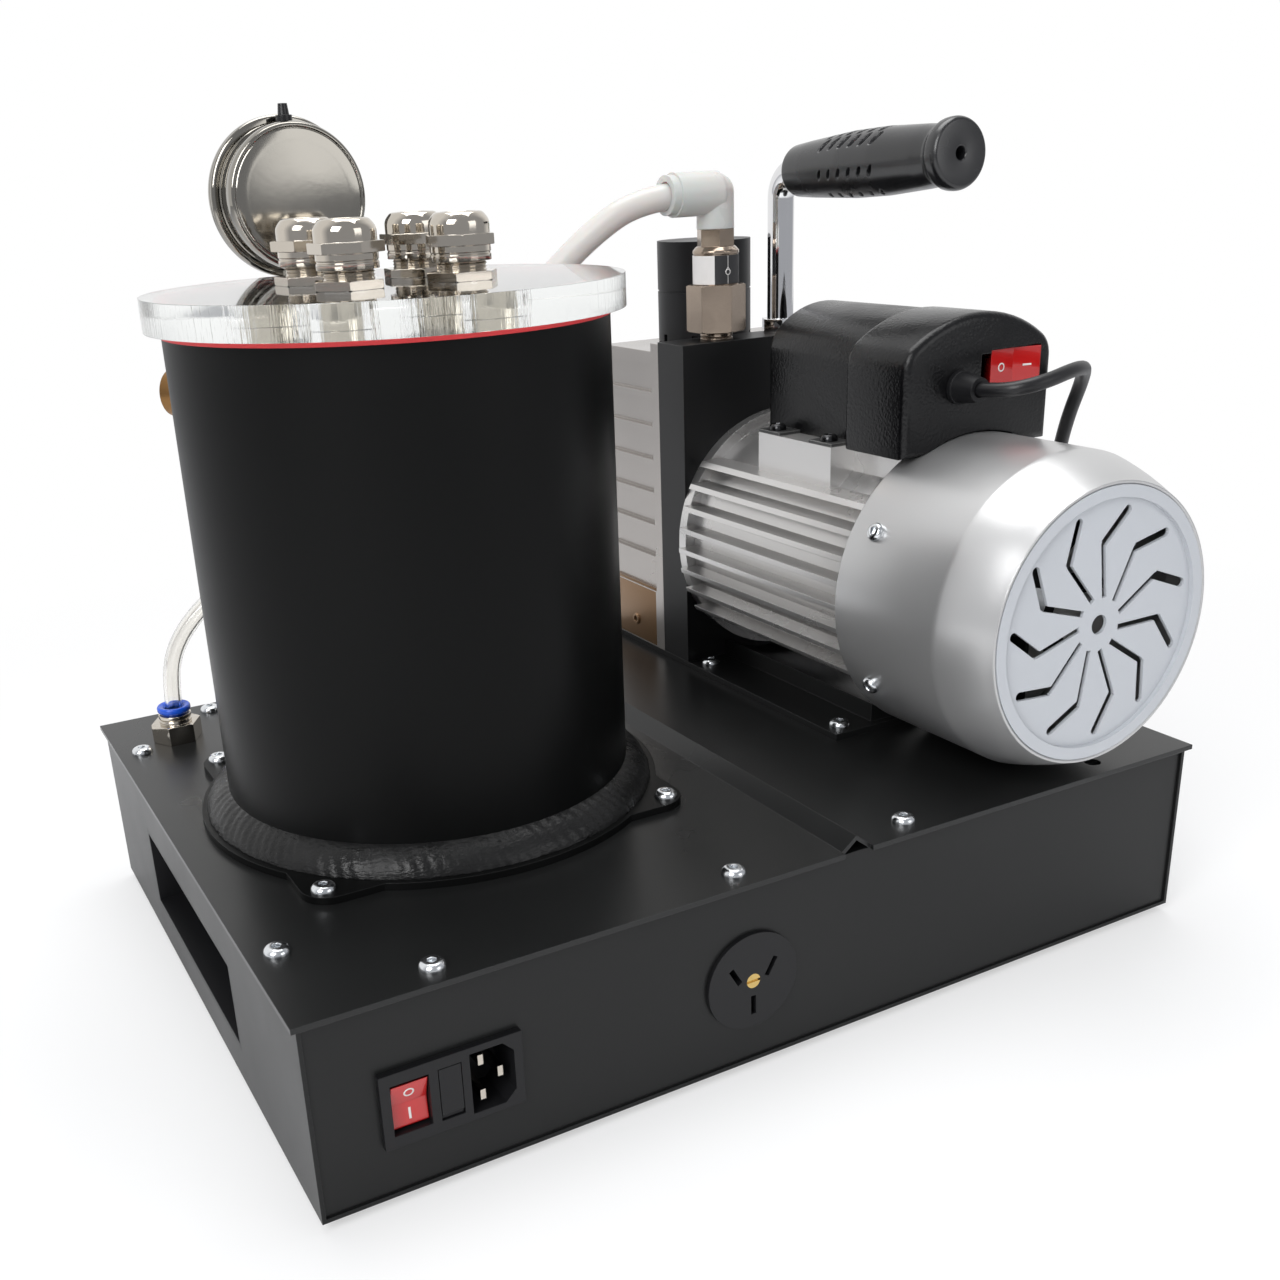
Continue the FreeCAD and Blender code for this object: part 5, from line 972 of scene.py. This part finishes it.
# Routes in metres from the base's corner
HOSE_ROUTE = ((0.2945, 0.2225, 0.3085), (0.266, 0.2225, 0.3085), (0.24042, 0.23162, 0.292),
              (0.21, 0.23675, 0.264), (0.172, 0.251, 0.25), (0.1255, 0.251, 0.25))
TUBE_ROUTE = ((0.0275, 0.268, 0.082), (0.0275, 0.268, 0.102), (0.03155, 0.26715, 0.1225),
              (0.04613, 0.26409, 0.1405), (0.068, 0.2595, 0.156), (0.0923, 0.2544, 0.177),
              (0.1085, 0.251, 0.202), (0.1085, 0.251, 0.23))
CABLE_ROUTE = ((0.325, 0.0695, 0.231), (0.325, 0.05, 0.231), (0.337, 0.0385, 0.234), (0.362, 0.042, 0.238),
               (0.386, 0.06, 0.233), (0.393, 0.076, 0.207), (0.404, 0.09, 0.18), (0.42, 0.097, 0.148),
               (0.432, 0.1, 0.118), (0.435, 0.1, 0.09), (0.4275, 0.1, 0.075), (0.413, 0.1, 0.066),
               (0.39925, 0.1, 0.066))


class CASTING_OT_lines(PieceOperator):
    """Runs the vacuum hose, the clear tube and the pump's cable"""
    bl_idname = "casting.lines"
    bl_label = "Hose, tube and cable"

    def route_curve(self, name, route):
        curve = bpy.data.curves.new(name, "CURVE")
        curve.dimensions = "3D"
        curve.resolution_u = 14
        spline = curve.splines.new("NURBS")
        spline.points.add(len(route) - 1)
        for point, place in zip(spline.points, route):
            point.co = (*(CORNER + Vector(place)), 1)
        spline.order_u = 3
        spline.use_endpoint_u = True
        return show(name, curve)

    def line(self, name, route, diameter, colour, node):
        obj = self.route_curve(name, route)
        obj.data.bevel_depth = diameter / 2
        obj.data.bevel_resolution = 8
        obj.data.use_fill_caps = True
        obj.data.materials.append(FINISHES[colour])
        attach(obj, "machine")
        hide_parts(node)
        return obj

    def path_points(self, route):
        """The points of a route's smooth line, as a curve without a bevel gives them."""
        obj = self.route_curve("path", route)
        mesh = worked_out(obj)
        points = [vert.co.copy() for vert in mesh.vertices]
        bpy.data.batch_remove((obj, obj.data, mesh))
        return points

    def pipe(self, points, outer, inner, steps=32):
        """A hollow tube swept along points in metres, closed at both rims."""
        walls = ([], [])
        across = (points[1] - points[0]).orthogonal()
        for before, point, after in zip(points[:1] + points[:-1], points, points[1:] + points[-1:]):
            ahead = (after - before).normalized()
            across = (across - ahead * across.dot(ahead)).normalized()
            up = ahead.cross(across)
            for wall, radius in zip(walls, (outer, inner)):
                wall.append([point + (across * cos(angle) + up * sin(angle)) * radius
                             for angle in (tau * step / steps for step in range(steps))])
        return skin(walls[0] + walls[1][::-1], wrapped=True)

    def build(self, context):
        hose = self.line("milky_hose", HOSE_ROUTE, 0.012, "milky_plastic", "vacuum_hose")
        path = self.path_points(TUBE_ROUTE)
        tube = add("clear_line", [self.pipe(path, 0.004, 0.0026)], "clear_plastic",
                   ["clear_tube"])
        cable = self.line("motor_cable", CABLE_ROUTE, 0.006, "rubber", "pump_cable")


# Stage

# Each lamp's name, place, aim and size in metres, and its power in watts
LAMPS = (("window", (-1.3, -0.9, 1.25), (0, 0, 0.15), (0.9, 1.3), 24),
         ("fill", (0.9, -1.7, 0.8), (0.05, 0, 0.15), (1.0, 1.0), 5),
         ("top", (0.15, 0.25, 1.7), (0.05, 0, 0.1), (1.2, 1.0), 16))
WHITE = (1, 1, 1, 1)
SKY_COLOUR = (0.93, 0.95, 1.0, 1)
SKY_LEVEL = 0.45
# Over this span of the sky's direction along y, what glossy surfaces see turns from sky colour to white
SKY_SPAN = (-0.15, 0.35)
FLOOR_HALF = 3.0
# The floor turns from half to fully white for the camera between these distances in metres
FLOOR_FADE = (0.28, 0.75)
CAMERA_PLACE = (-0.28853, -0.52087, 0.32297)
CAMERA_TURN = (1.193627, 0.045245, -0.496343)
CAMERA_VALUES = {"sensor_width": 36, "lens": 39.027, "shift_x": 0.0464, "shift_y": 0.0667, "clip_start": 0.01}


def show_where(tree, seen, plain, bright, output):
    """Shows the bright shader where seen is 1, and the plain one elsewhere."""
    mix = add_node(tree, "ShaderNodeMixShader", {"Fac": seen, 1: plain.outputs[0], 2: bright.outputs[0]})
    feed(tree, tree.nodes[output].inputs["Surface"], mix.outputs[0])


class CASTING_OT_stage(PieceOperator):
    """Sets the pale floor, the soft lights, the white background and the camera"""
    bl_idname = "casting.stage"
    bl_label = "Stage"

    def build(self, context):
        self.floor((*context.scene.casting_finishes.floor, 1))
        self.world(context)
        for lamp in LAMPS:
            self.lamp(*lamp)
        self.camera(context)

    def floor(self, colour):
        bm = bmesh.new()
        bmesh.ops.create_grid(bm, x_segments=8, y_segments=8, size=FLOOR_HALF)
        obj = show("floor", mesh_of("floor", [bm]))
        material = bpy.data.materials.new("pale_floor")
        material.use_nodes = True
        tree = material.node_tree
        shader = tree.nodes["Principled BSDF"]
        feed(tree, shader.inputs["Base Color"], colour)
        feed(tree, shader.inputs["Roughness"], 0.7)
        light = add_node(tree, "ShaderNodeEmission", {"Strength": 1.0})
        place = add_node(tree, "ShaderNodeTexCoord").outputs["Object"]
        away = add_node(tree, "ShaderNodeVectorMath", {0: place}, operation="LENGTH").outputs["Value"]
        camera_ray = add_node(tree, "ShaderNodeLightPath").outputs["Is Camera Ray"]
        seen = math_node(tree, "MULTIPLY", camera_ray, ramp(tree, away, *FLOOR_FADE, 0.5, 1.0))
        show_where(tree, seen, shader, light, "Material Output")
        obj.data.materials.append(material)

    def world(self, context):
        world = bpy.data.worlds.new("studio")
        context.scene.world = world
        world.use_nodes = True
        tree = world.node_tree
        base = tree.nodes["Background"]
        feed(tree, base.inputs["Color"], SKY_COLOUR)
        feed(tree, base.inputs["Strength"], SKY_LEVEL)
        white = add_node(tree, "ShaderNodeBackground", {"Color": WHITE, "Strength": 1.0})
        rays = add_node(tree, "ShaderNodeLightPath").outputs
        place = add_node(tree, "ShaderNodeTexCoord").outputs["Generated"]
        along = add_node(tree, "ShaderNodeSeparateXYZ", {0: place}).outputs["Y"]
        behind = ramp(tree, along, *SKY_SPAN, 0.0, 1.0)
        shiny = math_node(tree, "MULTIPLY", rays["Is Glossy Ray"], behind)
        clear = math_node(tree, "MAXIMUM", rays["Is Camera Ray"], rays["Is Transmission Ray"])
        show_where(tree, math_node(tree, "MAXIMUM", clear, shiny), base, white, "World Output")

    def lamp(self, name, place, aim, size, power):
        light = bpy.data.lights.new(name, "AREA")
        light.shape = "RECTANGLE"
        light.size, light.size_y = size
        light.energy = power
        obj = show(name, light)
        obj.location = place
        obj.rotation_euler = (Vector(aim) - Vector(place)).to_track_quat("-Z", "Y").to_euler()

    def camera(self, context):
        data = bpy.data.cameras.new("photo_view")
        for setting, value in CAMERA_VALUES.items():
            setattr(data, setting, value)
        obj = show("photo_view", data)
        obj.location = CAMERA_PLACE
        obj.rotation_euler = CAMERA_TURN
        context.scene.camera = obj
        context.scene.view_settings.view_transform = "Standard"


# Settings, panel and run

class CastingSizes(bpy.types.PropertyGroup):
    """Sizes of the detailed pieces"""
    screw_head: FloatProperty(name="Screw head", description="Width of a button screw's head", default=0.0095,
                              min=0.006, max=0.012, unit="LENGTH")
    dimple_count: IntProperty(name="Grip dimples", description="Dimples in each row of the carrying grip",
                              default=6, min=3, max=12)


def colour_setting(name, description, default):
    return FloatVectorProperty(name=name, description=description, default=default, size=3, subtype="COLOR",
                               min=0, max=1)


class CastingFinishes(bpy.types.PropertyGroup):
    """Colours of the main finishes"""
    paint: colour_setting("Black paint", "Colour of the powder-coated sheet metal", BLACK)
    aluminium: colour_setting("Aluminium", "Colour of the motor's ribs", (0.66, 0.65, 0.64))
    rocker: colour_setting("Rockers", "Colour of both switch caps", (0.5, 0.012, 0.012))
    floor: colour_setting("Floor", "Colour of the stage's floor", (0.9, 0.9, 0.9))


class CASTING_PT_panel(bpy.types.Panel):
    """Lists the sizes, the colours and the steps that dress the machine"""
    bl_idname = "CASTING_PT_panel"
    bl_label = "Vacuum casting machine"
    bl_space_type = "VIEW_3D"
    bl_region_type = "UI"
    bl_category = "Vacuum casting"

    def draw(self, context):
        for settings in (context.scene.casting_sizes, context.scene.casting_finishes):
            for name in settings.__annotations__:
                self.layout.prop(settings, name)
        for step in STEPS:
            self.layout.operator(step.bl_idname)


STEPS = (CASTING_OT_finishes, CASTING_OT_screws, CASTING_OT_chamber, CASTING_OT_glands, CASTING_OT_gauge,
         CASTING_OT_fitting, CASTING_OT_valve, CASTING_OT_motor, CASTING_OT_terminal_box,
         CASTING_OT_switches, CASTING_OT_handle, CASTING_OT_lines, CASTING_OT_stage)
CLASSES = (CastingSizes, CastingFinishes, CASTING_PT_panel, *STEPS)


def register():
    for item in CLASSES:
        bpy.utils.register_class(item)
    bpy.types.Scene.casting_sizes = PointerProperty(type=CastingSizes)
    bpy.types.Scene.casting_finishes = PointerProperty(type=CastingFinishes)


def unregister():
    del bpy.types.Scene.casting_finishes
    del bpy.types.Scene.casting_sizes
    for item in reversed(CLASSES):
        bpy.utils.unregister_class(item)


def main():
    register()
    for step in STEPS:
        group, name = step.bl_idname.split(".")
        getattr(getattr(bpy.ops, group), name)()


if __name__ == "__main__":
    main()
